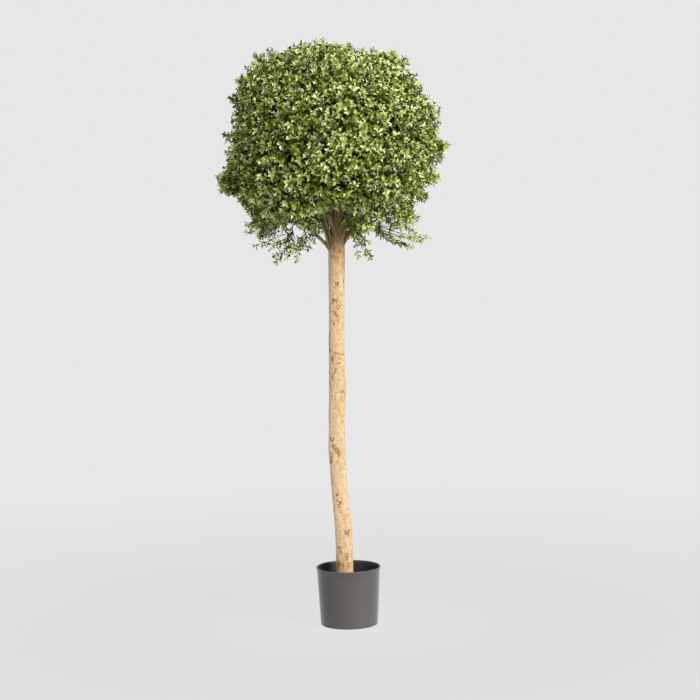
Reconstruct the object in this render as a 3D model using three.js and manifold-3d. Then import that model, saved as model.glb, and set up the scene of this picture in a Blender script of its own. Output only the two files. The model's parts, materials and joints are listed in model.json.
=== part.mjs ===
// An artificial box-leaved ball tree: a clipped ball of foliage on a bare, slightly crooked
// wooden stem, which is set in cement in a plain nursery pot.
//
// Millimetres, +Z up. The origin is the centre of the pot's flat underside. -Y is the front,
// where the foliage leaves a notch that shows the fork. An azimuth runs from the front (0)
// over +X, the right (90), to the back (180).
import * as THREE from "three";
import { mergeVertices } from "three/addons/utils/BufferGeometryUtils.js";
import Module from "manifold-3d";

const wasm = await Module();
wasm.setup();

// ---------------------------------------------------------------- driving dimensions

const SEAT_GAP = 0.3; // between pieces that touch

const POT = {
  height: 150,
  footRadius: 73.5,
  bodyRadius: 80, // outside, just under the lip
  lipRadius: 83,
  lipHeight: 11,
  lipDraft: 0.6, // how much more the lip stands out at its top than at its lower edge
  lipRound: 1,
  wall: 2.4,
  floor: 3.5,
  footRound: 2.5,
  sides: 32,
};

const FILLING = {
  top: 105,
  sides: 32,
  socketFloor: 12, // height of the stem's flat cut in the cement
};

// The stem's centreline and radius from its flat cut to its tip inside the ball.
const TRUNK_STATIONS = [
  { x: -9.5, y: 0, z: FILLING.socketFloor + SEAT_GAP, radius: 22.4 },
  { x: -9.5, y: 0, z: 130, radius: 22.4 },
  { x: -10.2, y: 1, z: 235, radius: 21.8 },
  { x: -16.5, y: 3, z: 325, radius: 20.8 },
  { x: -22.0, y: 4, z: 420, radius: 21.2 },
  { x: -21.5, y: 2, z: 520, radius: 21.4 },
  { x: -18.0, y: -2, z: 660, radius: 20.9 },
  { x: -15.8, y: -3, z: 800, radius: 20.0 },
  { x: -12.6, y: 0, z: 955, radius: 21.4 },
  { x: -9.5, y: 2, z: 1040, radius: 17.0 },
  { x: -8.0, y: 3, z: 1110, radius: 13.0 },
  { x: -7.0, y: 3, z: 1170, radius: 9.5 },
];
const TRUNK_SIDES = 14;
const TRUNK_RINGS = 33;
const TRUNK_PLUMB_TO = 135; // it is round and plumb where the cement holds it
const TRUNK_UNEVENNESS = 0.5;

// Knots that swell one side of the stem.
const KNOTS = [
  { z: 268, azimuth: 95, swell: 2.6, halfHeight: 24 },
  { z: 452, azimuth: 275, swell: 2.6, halfHeight: 20 },
  { z: 604, azimuth: 85, swell: 3.2, halfHeight: 22 },
  { z: 735, azimuth: 200, swell: 2.2, halfHeight: 18 },
];
const KNOT_WIDTH = 50; // degrees either side of a knot's azimuth

const CROWN = {
  centre: new THREE.Vector3(-15, 0, 1225),
  radius: 264,
  unevenness: 7,
  hollowRadius: 150, // the middle holds only the stem's tip and the boughs
  massDepth: 212, // distance of a mass's own middle from the crown's centre
};

// Where the ball's outline stands out, and by how much.
const SWELLS = [
  { azimuth: 88, elevation: -5, rise: 44, spread: 10 },
  { azimuth: 95, elevation: 23, rise: 26, spread: 14 },
  { azimuth: 85, elevation: 50, rise: 32, spread: 14 },
  { azimuth: 270, elevation: 72, rise: -8, spread: 12 },
  { azimuth: 275, elevation: 42, rise: 42, spread: 20 },
  { azimuth: 268, elevation: -16, rise: 64, spread: 10 },
];
// The others are strewn about the front and the back, between the ones above.
const OTHER_SWELLS = {
  count: 16,
  azimuthReach: 62, // to either side of straight ahead and straight behind
  lowElevation: -30,
  highElevation: 74,
  least: -8,
  most: 26,
  spread: 17,
  seed: 7,
};

// The way into the hollow from below, round the stem.
const THROAT = { lowZ: 960, lowRadius: 84, highZ: 1075, highRadius: 62 };

// The lower edge of the ball, which is raised over the notch at the front.
const HEM = { height: 1016, unevenness: 5, notchHeight: 1080, notchHalfWidth: 27 };

// The masses of foliage, by the direction of their middles from the crown's centre.
const MASSES = [
  { name: "top", azimuth: 0, elevation: 90 },
  { name: "upper_front_right", azimuth: 40, elevation: 38 },
  { name: "upper_back_right", azimuth: 135, elevation: 38 },
  { name: "upper_back_left", azimuth: 225, elevation: 38 },
  { name: "upper_front_left", azimuth: 318, elevation: 38 },
  { name: "middle_front", azimuth: 4, elevation: 0 },
  { name: "middle_front_right", azimuth: 62, elevation: -2 },
  { name: "middle_back_right", azimuth: 118, elevation: 0 },
  { name: "middle_back", azimuth: 178, elevation: -2 },
  { name: "middle_back_left", azimuth: 242, elevation: 0 },
  { name: "middle_front_left", azimuth: 300, elevation: -2 },
  { name: "lower_front_left", azimuth: 335, elevation: -40 },
  { name: "lower_front_right", azimuth: 25, elevation: -40 },
  { name: "lower_right", azimuth: 78, elevation: -42 },
  { name: "lower_back_right", azimuth: 140, elevation: -42 },
  { name: "lower_back_left", azimuth: 215, elevation: -42 },
  { name: "lower_left", azimuth: 279, elevation: -42 },
];
const MASS_DETAIL = 3; // how finely a mass's surface is divided
const MASS_ROUNDNESS = 26; // the lower, the rounder a mass is where it meets the next

// Loose tufts that hang below the hem: middle, half sizes, and slope of the long axis.
const TUFTS = [
  { at: [-130, -32, 984], half: [66, 42, 46], slope: 12 },
  { at: [-196, 5, 1030], half: [58, 62, 50], slope: 30 },
  { at: [56, -60, 996], half: [40, 42, 52], slope: -10 },
  { at: [160, -5, 1022], half: [62, 60, 50], slope: -26 },
  { at: [-98, 128, 1004], half: [60, 54, 48], slope: 14 },
  { at: [72, 132, 1000], half: [56, 56, 50], slope: -14 },
];
const TUFT_UNEVENNESS = 0.08;

// One limb to a mass: the height where it leaves the stem, its radius there and at its far
// end, and how far out and up it bends.
// The masses without a limb hang on the ones beside them.
const BOUGHS = [
  { to: "top", height: 1166, radius: 6.5, tip: 4, out: 2, up: 100, wood: true },
  { to: "upper_front_right", height: 985, radius: 3, tip: 2.2, out: 22, up: 130 },
  { to: "upper_back_right", height: 1030, radius: 5, tip: 3, out: 20, up: 120 },
  { to: "upper_back_left", height: 1044, radius: 5, tip: 3, out: 20, up: 120 },
  { to: "upper_front_left", height: 962, radius: 3.6, tip: 2.5, out: 22, up: 120 },
  { to: "middle_front", height: 1010, radius: 2.4, tip: 2, out: 14, up: 120, turn: -32 },
  { to: "middle_front_right", height: 990, radius: 4, tip: 3, out: 12, up: 125 },
  { to: "middle_back_right", height: 975, radius: 5, tip: 4, out: 12, up: 140, wood: true },
  { to: "middle_back", height: 1020, radius: 4, tip: 3, out: 10, up: 120 },
  { to: "middle_back_left", height: 1000, radius: 5, tip: 4, out: 12, up: 130, wood: true },
  { to: "middle_front_left", height: 976, radius: 4, tip: 3, out: 10, up: 140 },
  { to: "lower_left", height: 942, radius: 5.2, tip: 4, out: 24, up: 55 },
  { to: "lower_right", height: 955, radius: 5.4, tip: 4, out: 18, up: 58, wood: true },
  { to: "lower_back_left", height: 968, radius: 7, tip: 5, out: 20, up: 50, wood: true },
  { to: "lower_back_right", height: 950, radius: 5, tip: 4, out: 20, up: 50 },
];
const BOUGH_SIDES = 6;
const BOUGH_RINGS = 5;

const MATERIALS = {
  pot: new THREE.MeshStandardMaterial({ color: 0x4a4744, roughness: 0.55, metalness: 0 }),
  cement: new THREE.MeshStandardMaterial({ color: 0x37332e, roughness: 0.95, metalness: 0 }),
  wood: new THREE.MeshStandardMaterial({ color: 0xd6b183, roughness: 0.7, metalness: 0 }),
  limb: new THREE.MeshStandardMaterial({ color: 0x7c5a41, roughness: 0.75, metalness: 0 }),
  stem: new THREE.MeshStandardMaterial({ color: 0x5f7155, roughness: 0.6, metalness: 0 }),
  foliage: new THREE.MeshStandardMaterial({ color: 0x66752f, roughness: 0.65, metalness: 0 }),
};

// ---------------------------------------------------------------- small helpers

const UP = new THREE.Vector3(0, 0, 1);
const { clamp, degToRad, radToDeg, lerp } = THREE.MathUtils;
const SEARCH_STRIDE = 5;
const HALVINGS = 20; // a search by halves ends well under a hundredth of a millimetre

// A unit vector at an azimuth and an elevation, both in degrees.
function direction(azimuth, elevation = 0) {
  const a = degToRad(azimuth);
  const e = degToRad(elevation);
  return new THREE.Vector3(Math.sin(a) * Math.cos(e), -Math.cos(a) * Math.cos(e), Math.sin(e));
}

function azimuthOf(v) {
  return radToDeg(Math.atan2(v.x, -v.y));
}

// The angle between two azimuths, from 0 to 180 degrees.
function turnBetween(a, b) {
  return Math.abs(((a - b + 540) % 360) - 180);
}

function bell(distance, halfWidth) {
  return Math.exp(-((distance / halfWidth) ** 2));
}

// The same sequence of numbers from 0 to 1 on every run.
function seededRandom(seed) {
  let state = seed;
  return () => {
    state = (Math.imul(state, 1664525) + 1013904223) >>> 0;
    return state / 2 ** 32;
  };
}

// A smooth ripple through space, from about -1 to 1: a few waves that cross each other.
function makeRipple({ seed, wavelength, count = 6, shortest = 0.75, longest = 1.35 }) {
  const random = seededRandom(seed);
  const waves = Array.from({ length: count }, () => {
    const elevation = radToDeg(Math.asin(2 * random() - 1));
    const length = wavelength * lerp(shortest, longest, random());
    return {
      k: direction(360 * random(), elevation).multiplyScalar((2 * Math.PI) / length),
      phase: 2 * Math.PI * random(),
    };
  });
  return (p) => {
    const sum = waves.reduce((total, w) => total + Math.sin(w.k.dot(p) + w.phase), 0);
    return sum / Math.sqrt(2 * count);
  };
}

// A closed geometry with only positions and shared corners, as the booleans need it.
function welded(geometry) {
  geometry.deleteAttribute("normal");
  geometry.deleteAttribute("uv");
  return mergeVertices(geometry, 1e-3);
}

function toSolid(geometry) {
  const closed = welded(geometry.clone());
  return new wasm.Manifold(
    new wasm.Mesh({
      numProp: 3,
      vertProperties: new Float32Array(closed.attributes.position.array),
      triVerts: new Uint32Array(closed.index.array),
    }),
  );
}

function toGeometry(solid) {
  const { vertProperties, triVerts } = solid.getMesh();
  const geometry = new THREE.BufferGeometry();
  geometry.setAttribute("position", new THREE.BufferAttribute(vertProperties, 3));
  geometry.setIndex(new THREE.BufferAttribute(triVerts, 1));
  return geometry.toNonIndexed();
}

function lowestPiece(solid) {
  const bottom = (piece) => piece.boundingBox().min[2];
  return solid.decompose().reduce((a, b) => (bottom(a) < bottom(b) ? a : b));
}

// A closed tube along a curve. radiusAt gets the share of the curve and the azimuth.
function bentTube(pointAt, radiusAt, sides, rings) {
  const geometry = new THREE.CylinderGeometry(1, 1, 1, sides, rings);
  const position = geometry.attributes.position;
  const step = 1e-3;
  for (let i = 0; i < position.count; i++) {
    const share = position.getY(i) + 0.5;
    const spoke = Math.hypot(position.getX(i), position.getZ(i));
    const azimuth = radToDeg(Math.atan2(position.getX(i), position.getZ(i)));
    const tangent = pointAt(Math.min(share + step, 1)).sub(pointAt(Math.max(share - step, 0)));
    const turn = new THREE.Quaternion().setFromUnitVectors(UP, tangent.normalize());
    const rim = direction(azimuth).applyQuaternion(turn);
    const p = pointAt(share).addScaledVector(rim, spoke * radiusAt(share, azimuth));
    position.setXYZ(i, p.x, p.y, p.z);
  }
  return geometry;
}

function addPiece(group, name, geometry, material) {
  geometry.computeVertexNormals();
  const mesh = new THREE.Mesh(geometry, material);
  mesh.name = name;
  group.add(mesh);
  return mesh;
}

// ---------------------------------------------------------------- pot and filling

function potInnerRadius(z) {
  return lerp(POT.footRadius, POT.bodyRadius, z / POT.height) - POT.wall;
}

function makePot() {
  const underLip = POT.height - POT.lipHeight;
  const profile = new THREE.Path();
  profile.moveTo(0, 0);
  profile.lineTo(POT.footRadius - POT.footRound, 0);
  profile.quadraticCurveTo(POT.footRadius, 0, POT.footRadius, POT.footRound);
  profile.lineTo(POT.bodyRadius, underLip);
  profile.lineTo(POT.lipRadius - POT.lipDraft, underLip + POT.lipRound);
  profile.lineTo(POT.lipRadius, POT.height - POT.lipRound);
  profile.lineTo(POT.lipRadius - POT.lipRound, POT.height);
  profile.lineTo(potInnerRadius(POT.height), POT.height);
  profile.lineTo(potInnerRadius(POT.floor), POT.floor);
  profile.lineTo(0, POT.floor);
  // A lathe turns its profile about Y, so it is stood up to turn about Z.
  const lathe = new THREE.LatheGeometry(profile.getPoints(3), POT.sides);
  return lathe.rotateX(Math.PI / 2);
}

function makeFilling() {
  const low = POT.floor + SEAT_GAP;
  const lowRadius = potInnerRadius(low) - SEAT_GAP;
  const topRadius = potInnerRadius(FILLING.top) - SEAT_GAP;
  const height = FILLING.top - low;
  const plug = new THREE.CylinderGeometry(topRadius, lowRadius, height, FILLING.sides)
    .rotateX(Math.PI / 2)
    .translate(0, 0, low + height / 2);
  const foot = TRUNK_STATIONS[0];
  const socket = new THREE.CylinderGeometry(
    foot.radius + SEAT_GAP, foot.radius + SEAT_GAP, 2 * height, TRUNK_SIDES,
  )
    .rotateX(Math.PI / 2)
    .translate(foot.x, foot.y, FILLING.socketFloor + height);
  return toGeometry(toSolid(plug).subtract(toSolid(socket)));
}

// ---------------------------------------------------------------- stem

const trunkLine = new THREE.CatmullRomCurve3(
  TRUNK_STATIONS.map((s) => new THREE.Vector3(s.x, s.y, s.z)),
);
trunkLine.curveType = "catmullrom";
const trunkRadius = new THREE.SplineCurve(
  TRUNK_STATIONS.map((s, i) => new THREE.Vector2(i, s.radius)),
);
const trunkRipple = makeRipple({ seed: 21, wavelength: 60 });

function trunkPoint(share) {
  const p = trunkLine.getPoint(share);
  return p.z < TRUNK_PLUMB_TO ? p.setX(TRUNK_STATIONS[0].x).setY(TRUNK_STATIONS[0].y) : p;
}

function trunkRadiusAt(share, azimuth) {
  const p = trunkPoint(share);
  if (p.z < TRUNK_PLUMB_TO) return TRUNK_STATIONS[0].radius;
  const knots = KNOTS.reduce(
    (sum, k) =>
      sum + k.swell * bell(p.z - k.z, k.halfHeight) * bell(turnBetween(azimuth, k.azimuth), KNOT_WIDTH),
    0,
  );
  const radius = trunkRadius.getPoint(share).y;
  const rim = direction(azimuth).multiplyScalar(radius).add(p);
  return radius + knots + TRUNK_UNEVENNESS * trunkRipple(rim);
}

function makeTrunk(extraRadius = 0) {
  return bentTube(
    trunkPoint,
    (share, azimuth) => trunkRadiusAt(share, azimuth) + extraRadius,
    TRUNK_SIDES,
    TRUNK_RINGS,
  );
}

// The middle of the stem at a height.
function trunkAxis(z) {
  let low = 0;
  let high = 1;
  for (let i = 0; i < HALVINGS; i++) {
    const middle = (low + high) / 2;
    if (trunkPoint(middle).z < z) low = middle;
    else high = middle;
  }
  return trunkPoint(low);
}

// ---------------------------------------------------------------- the ball's outline

function allSwells() {
  const random = seededRandom(OTHER_SWELLS.seed);
  const { azimuthReach, lowElevation, highElevation, least, most, spread } = OTHER_SWELLS;
  const others = Array.from({ length: OTHER_SWELLS.count }, (_, i) => ({
    azimuth: 180 * (i % 2) + lerp(-azimuthReach, azimuthReach, random()),
    elevation: lerp(lowElevation, highElevation, random()),
    rise: lerp(least, most, random()),
    spread,
  }));
  return [...SWELLS, ...others].map((s) => ({ ...s, way: direction(s.azimuth, s.elevation) }));
}

const swells = allSwells();
const crownRipple = makeRipple({ seed: 5, wavelength: 110 });

// How far the ball reaches from its centre in a direction.
function outlineRadius(way) {
  const rise = swells.reduce(
    (sum, s) => sum + s.rise * bell(radToDeg(way.angleTo(s.way)), s.spread),
    0,
  );
  const ripple = crownRipple(way.clone().multiplyScalar(CROWN.radius));
  return CROWN.radius + rise + CROWN.unevenness * ripple;
}

// The open middle of the ball: the hollow and the throat that leads into it.
function inCore(p) {
  if (p.distanceTo(CROWN.centre) < CROWN.hollowRadius) return true;
  if (p.z > CROWN.centre.z) return false;
  const axis = trunkAxis(p.z);
  const share = clamp((p.z - THROAT.lowZ) / (THROAT.highZ - THROAT.lowZ), 0, 1);
  const radius = lerp(THROAT.lowRadius, THROAT.highRadius, share);
  return Math.hypot(p.x - axis.x, p.y - axis.y) < radius;
}

function hemHeight(p) {
  const azimuth = azimuthOf(p.clone().sub(CROWN.centre));
  const rise = bell(turnBetween(azimuth, 0), HEM.notchHalfWidth);
  return lerp(HEM.height, HEM.notchHeight, rise) + HEM.unevenness * crownRipple(p);
}

function inBall(p) {
  const arm = p.clone().sub(CROWN.centre);
  const length = arm.length();
  return length < outlineRadius(arm.normalize()) && p.z > hemHeight(p);
}

const tuftRipple = makeRipple({ seed: 33, wavelength: 70 });

function inTuft(tuft, p) {
  const axis = new THREE.Vector3(0, 1, 0);
  const [x, y, z] = p.clone().sub(new THREE.Vector3(...tuft.at))
    .applyAxisAngle(axis, degToRad(tuft.slope));
  const [a, b, c] = tuft.half;
  return Math.hypot(x / a, y / b, z / c) < 1 + TUFT_UNEVENNESS * tuftRipple(p);
}

function inFoliage(p) {
  return !inCore(p) && (inBall(p) || TUFTS.some((tuft) => inTuft(tuft, p)));
}

// ---------------------------------------------------------------- foliage masses

// How far a mass may reach in a direction before the flat face it shares with a neighbour.
function sharedFace(mass, neighbour, way) {
  const span = neighbour.centre.clone().sub(mass.centre);
  const distance = span.length();
  const facing = way.dot(span.divideScalar(distance));
  return facing > 0 ? (distance / 2 - SEAT_GAP / 2) / facing : Infinity;
}

// How far the foliage goes on in a direction from the middle of a mass.
function foliageReach(centre, way) {
  const at = (r) => centre.clone().addScaledVector(way, r);
  let inside = 0;
  while (inFoliage(at(inside + SEARCH_STRIDE))) inside += SEARCH_STRIDE;
  let outside = inside + SEARCH_STRIDE;
  for (let i = 0; i < HALVINGS; i++) {
    const middle = (inside + outside) / 2;
    if (inFoliage(at(middle))) inside = middle;
    else outside = middle;
  }
  return inside;
}

// The least of some distances, with the corner between two that are near alike rounded off.
function roundedLeast(distances, roundness) {
  const least = Math.min(...distances);
  const sum = distances.reduce((total, d) => total + (least / d) ** roundness, 0);
  return least * sum ** (-1 / roundness);
}

function makeMass(mass, masses) {
  const geometry = welded(new THREE.IcosahedronGeometry(1, MASS_DETAIL));
  const position = geometry.attributes.position;
  const others = masses.filter((m) => m !== mass);
  for (let i = 0; i < position.count; i++) {
    const way = new THREE.Vector3().fromBufferAttribute(position, i).normalize();
    const faces = others.map((other) => sharedFace(mass, other, way));
    const reach = roundedLeast([foliageReach(mass.centre, way), ...faces], MASS_ROUNDNESS);
    const p = mass.centre.clone().addScaledVector(way, reach);
    position.setXYZ(i, p.x, p.y, p.z);
  }
  return geometry.toNonIndexed();
}

// ---------------------------------------------------------------- boughs

// A limb from the middle of the stem to the middle of its mass. It is cut off at the stem's
// surface and where it enters the mass.
function makeBough(bough, mass, massSolid, trunkGrown) {
  const root = trunkAxis(bough.height);
  const out = direction(azimuthOf(mass.centre.clone().sub(root)) + (bough.turn ?? 0));
  const knee = root.clone().addScaledVector(out, bough.out).addScaledVector(UP, bough.up);
  const line = new THREE.QuadraticBezierCurve3(root, knee, mass.centre);
  const tube = bentTube(
    (share) => line.getPoint(share),
    (share) => lerp(bough.radius, bough.tip, share),
    BOUGH_SIDES,
    BOUGH_RINGS,
  );
  const back = line.getTangent(1).negate().setLength(SEAT_GAP);
  const massMovedBack = massSolid.translate([back.x, back.y, back.z]);
  return toGeometry(lowestPiece(toSolid(tube).subtract(trunkGrown).subtract(massMovedBack)));
}

// ---------------------------------------------------------------- the tree

const tree = new THREE.Group();
addPiece(tree, "pot", makePot(), MATERIALS.pot);
addPiece(tree, "pot_filling", makeFilling(), MATERIALS.cement);
addPiece(tree, "trunk", makeTrunk(), MATERIALS.wood);

const masses = MASSES.map(({ name, azimuth, elevation }) => {
  const arm = direction(azimuth, elevation).multiplyScalar(CROWN.massDepth);
  return { name, centre: arm.add(CROWN.centre) };
});
const massSolids = new Map();
for (const mass of masses) {
  const geometry = makeMass(mass, masses);
  massSolids.set(mass.name, toSolid(geometry));
  addPiece(tree, `foliage_${mass.name}`, geometry, MATERIALS.foliage);
}

const trunkSleeve = toSolid(makeTrunk(SEAT_GAP));
const trunkGrown = trunkSleeve.add(trunkSleeve.translate([0, 0, SEAT_GAP]));
for (const bough of BOUGHS) {
  const mass = masses.find((m) => m.name === bough.to);
  const geometry = makeBough(bough, mass, massSolids.get(bough.to), trunkGrown);
  addPiece(tree, `bough_${bough.to}`, geometry, bough.wood ? MATERIALS.limb : MATERIALS.stem);
}

export default tree;
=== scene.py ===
"""The looks of an artificial ball topiary: leaf sprays on plastic stems, a peeled wooden pole
with beetle tracks, and a plain nursery pot with cement in it.

Metres, +Z up, -Y is the front. An azimuth runs from the front (0) over the right (90).
"""
import json
import math

import bpy
import numpy as np
from mathutils import Matrix, Vector
from mathutils.bvhtree import BVHTree
from mathutils.kdtree import KDTree


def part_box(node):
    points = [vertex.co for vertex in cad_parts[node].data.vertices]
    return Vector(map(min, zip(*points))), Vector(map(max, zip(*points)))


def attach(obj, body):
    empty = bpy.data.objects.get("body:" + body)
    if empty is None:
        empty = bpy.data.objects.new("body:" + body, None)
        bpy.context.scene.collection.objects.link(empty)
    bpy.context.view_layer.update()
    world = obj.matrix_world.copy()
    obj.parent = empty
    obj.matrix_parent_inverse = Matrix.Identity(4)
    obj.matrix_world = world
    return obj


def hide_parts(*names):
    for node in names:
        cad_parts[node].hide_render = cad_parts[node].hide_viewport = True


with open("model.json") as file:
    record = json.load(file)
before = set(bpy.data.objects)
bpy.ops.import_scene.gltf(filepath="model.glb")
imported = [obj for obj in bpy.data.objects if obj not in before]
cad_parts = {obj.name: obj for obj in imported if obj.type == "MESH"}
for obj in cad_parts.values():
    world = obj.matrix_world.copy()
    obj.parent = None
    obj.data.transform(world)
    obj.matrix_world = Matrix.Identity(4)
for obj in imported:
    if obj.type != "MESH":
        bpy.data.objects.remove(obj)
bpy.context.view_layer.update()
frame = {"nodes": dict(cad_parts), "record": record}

MM = 0.001
TURN = 2 * math.pi

# ---------------- driving values

SEED = 4
MARK_SEED = 11
FLUTE_SEED = 5

CAMERA = dict(place=(0.0158, -5.5, 1.25), down=5.616, roll=1.2, lens=111.45, sensor=36.0)

POT = dict(
    segments=160,
    foot=73.5 * MM,                    # radius at the ground
    foot_round=2 * MM,
    hollow=1.2 * MM,                   # depth of the hollow under the pot
    hollow_edge=(12 * MM, 10 * MM),    # where its edge starts and ends, in from the foot
    bulge=0.92,                        # a power: under 1, the wall curves out
    wall_from=5 * MM,
    inset=0.3 * MM,                    # the lip from the side of the CAD pot's box
    lip_height=20 * MM,
    lip_proud=2.4 * MM,
    rim_round=0.9 * MM,
    wall=2.2 * MM,
    floor=3.5 * MM,
    inner_from=8 * MM,                 # the plain inner wall starts this far under the lip
    inside=4 * MM,                     # the darker inside material, painted shade, starts this far under the rim
)
# The lip's profile, out and up in mm: one shallow step outside, from the wall under the
# lip and the rim, then the flare and the inside, from the lip and the rim.
LIP_STEP = [(0.3, -16), (0.6, -11), (1.1, -10.1)]
LIP_FLARE = [(-0.7, -7), (-0.2, -3)]
LIP_INSIDE = [(-2.3, -6)]
POT_LOOKS = dict(pot_plastic=(0.735, 0.5, 0.8), pot_inside_painted_shade=(0.4, 0.1, 0.1))  # shade, specular, sheen; the inside is a darker copy, painted shade
FILLING = dict(rings=40, segments=96, roughness=1.3 * MM, spread=0.9, waves=26, wave_numbers=(60, 900),
               wave_heights=(0.2, 1.0), wave_scale=6, edge_rise=1.2 * MM, edge_power=6, skirt=12 * MM)

# A slice's middle is first guessed from the corners near it, with weights that fade in a window.
TRUNK = dict(segments=84, step=1.5 * MM, slices=150, rays=28, end=0.5 * MM, radius_mm=21.5,
             near=0.03, window=0.014, blur=1.6, centre_blur=2.0)
FLUTES = [  # waves round the stem, height in mm, climb
    (3, 0.35, 2.1), (5, 0.25, 3.3), (9, 0.14, 6.0), (17, 0.07, 9.0), (31, 0.05, 14.0),
]
LUMPS = [(0.35, 0.030, 1, 0.3), (0.25, 0.075, 2, 1.1), (0.15, 0.16, 3, 2.0)]  # height, climb, waves, phase
LUMP_SHARE = 0.6
SKIN_INSET = 0.1  # in mm
PHASES = (0, 6.3)  # of the waves in the wood and the cement
RUDDY_AND_SHADE = dict(  # how reddish parts of the wood are, and where painted shade darkens it: shares, and between which heights in mm they come in
    cloud=(0.22, 0.25, 0.8),  # this one by the cloud's strength
    # upper is partly painted shade, the crown's shadow on the pole's top, and partly the wood's orange-brown
    # there
    upper=(0.15, 840, 930), fork=(0.3, 925, 960), top=(0.6, 975, 1010), left=0.5,
    # left and upper_left: partly painted shade along the pole's left edge as seen from the front, and partly
    # a browner tone there
    upper_left=(0.3, 760, 820), foot_side=(0.45, 140, 190), foot=(0.10, 160, 215), less=(0.06, 925, 955))
FACING = dict(  # where tones, painted shade and painted light lie round the pole: a turn, and the sines between which they come in
    left=(0.05, 0.86, 1.0), foot=(2.2, 0.2, 1.0), painted_light=(0.35, -0.5, 0.8))
# how much lighter the pole's left half is: painted light that evens out its shading from the key light on
# the right
PAINTED_LIGHT = 0.6
BARE = (975, 1000)  # heights in mm between which the marks of bark fade out

FAN = dict(stems=2, heights=(0.975, 1.04), spread=0.6, root=13 * MM, reach=0.55, rise=(0.02, 0.05),
           knee=(8 * MM, 15 * MM), radius=(0.9 * MM, 2.3 * MM), bend=(0.4, 0.35), taper=(1.1, 1.0, 0.8, 0.6))
FRONT_STEMS = [  # two radii and four points each, in millimetres
    (3.2, 1.8, (-30, -15, 968), (-40, -22, 1008), (-57, -26, 1048), (-72, -22, 1080)),
    (2.6, 1.6, (-24, -18, 976), (-33, -26, 1018), (-44, -29, 1058), (-52, -26, 1092)),
    (1.8, 1.2, (-4, -20, 1000), (3, -27, 1030), (18, -32, 1060), (33, -36, 1092)),
    (1.9, 1.3, (-2, -20, 982), (5, -27, 1008), (17, -32, 1028), (32, -32, 1042)),
]
SIDE_ROOT = (8.5, 6.0, (-28, -4, 975), (-36, -9, 1012), (-44, -12, 1048), (-56, -8, 1084))  # the same
# The lowest corners are a bough's foot, the farthest its tip, and slices are cut between these shares.
LIMB_ENDS = dict(foot=0.08, corners=6, shares=(0.14, 0.96))
# Where a bough starts inside the stem: shares of its own line and of the stem's middle, then heights.
LIMB_ROOT = dict(shares=(0.55, 0.45), look=0.02, drop=0.018, top_drop=0.02, swell=1.15)
LIMB_LOOKS = dict(  # the piece, points along, sides, size of the bumps, share of the knots
    limb_wood=("limbs_wood", 70, 18, 0.05, 1.0), plastic_stem=("stems_plastic", 60, 12, 0.02, 0.4))
KNOTS = dict(count=3, clear=10, width=1.6, size=0.16, bumps=2.2)

LEAF = dict(length=13.2 * MM, width=0.52, loose_width=0.46, cup=0.18, droop=0.05,
            odd=0.3, stand_off=0.6)  # share of odd colours, and mm from the stem's middle
LEAF_SPREADS = dict(  # ranges of shares of a leaf's sizes, then spreads of its angles in radians
    width=(0.88, 1.12), cup=(0.3, 1.5), droop=(-1.0, 3.0), length=(0.86, 1.12), gap=(0.85, 1.15),
    spin=0.25, angle=0.16, roll=0.5)
LEAFY = 0.85  # the share of a shoot's length that has leaves
CURVED = 0.7  # the share of a shoot's way up to its bend that counts as its length
LEAF_SPAN = (0.1, 1.0)  # leaves lie between these shares of the shoot's curve
SPRAY = dict(
    spacing=13.6 * MM,        # between the tips of neighbouring shoots
    loose_spacing=26 * MM,    # the same, in the tufts under the ball
    proud_spacing=30 * MM,    # the same, for the shoots that stand out of the ball
    inset=(8 * MM, 25 * MM),  # how far the tips lie under the ball's outline
    proud_inset=(-4 * MM, 6 * MM),
    loose_inset=(0, 14 * MM),
    shoots=10,                # shoots in a spray
    limbs=7,                  # sprays on a bough
    low=(1.05, 1.12),         # heights between which the colours change to the paler low ones, painted light under the ball
    gather=0.13,              # how much a spray's shoots draw together
    swell=8 * MM,             # how far whole sprays lie back
    lump=5 * MM,              # how far they stand out or in, over shorter distances
    lump_limits=(-1.4, 1.4),
    waves=(0.42, 0.2),        # the distances for both, as seen from the ball's middle
    reach=(0.034, 0.052),     # length of a shoot's straight end
    loose_reach=(0.058, 0.098),
    tilt=0.50,                # how far a shoot strays from the skin's normal
    loose_tilt=0.3,
    lift=0.06,
    rim_shoots=4,             # shoots in each spray that stands out furthest
    rim_spread=7 * MM,
    rim_inset=(9 * MM, 22 * MM),
    own_color=0.4,            # share of shoots that don't take their spray's colours
    brown=(0.75, 0.25),       # share of brown twigs on the left under the ball, and elsewhere
    tips=60000,               # tips tried
    proud=8,                  # one in so many of them is for a shoot that stands out
    proud_back=0.5,           # its share of how far the sprays lie back
    scale=(0.88, 1.12),       # of a shoot's leaves
)
BOUGH = dict(reach=0.45, straight=0.5, branch_reach=0.62, carry_on=0.25)  # shares of the way to go
# The tufts' skin: points tried to the square metre, where it counts as inside the tuft, how much
# air must be before it, and how far shoots turn to its normal.
TUFTS = dict(density=60000, under_fork=0.01, inward=-0.15, open=0.045, outward=0.35)
HANG_LEAN = (0.5, 0.5, 1.0)  # steeper than straight out from the fork
FILL = dict(spacing=17 * MM, inset=(34 * MM, 80 * MM), tilt=1.1, above_hem=0.03, tips=20000)
# Distances of the leaf pairs from the shoot's tip, then each pair's angle from the stem
# and size. The first two make the rosette, and only a loose shoot has the last six.
SHORT_PAIRS = 7
FULL_PAIRS = 3  # these are always there, and the others with these chances, loose or not
PAIR_CHANCE = (0.86, 0.93)
PAIR_AT = np.array([0.4, 3.8, 9.2, 15.4, 22.2, 29.4, 37.0, 45.0, 53.5, 62.0, 70.5, 79.0, 87.5]) * MM
PAIR_ANGLE = np.radians([30.0, 52.0, 58.0, 58.0] + 9 * [52.0])
PAIR_SIZE = np.array([0.78, 1.04, 1.04, 1.0, 1.0, 0.96, 0.92] + 6 * [0.9])
PAIR_ZONE = np.array([0, 0, 1, 1, 1] + 8 * [2])  # which of a family's colours the pair takes
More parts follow.
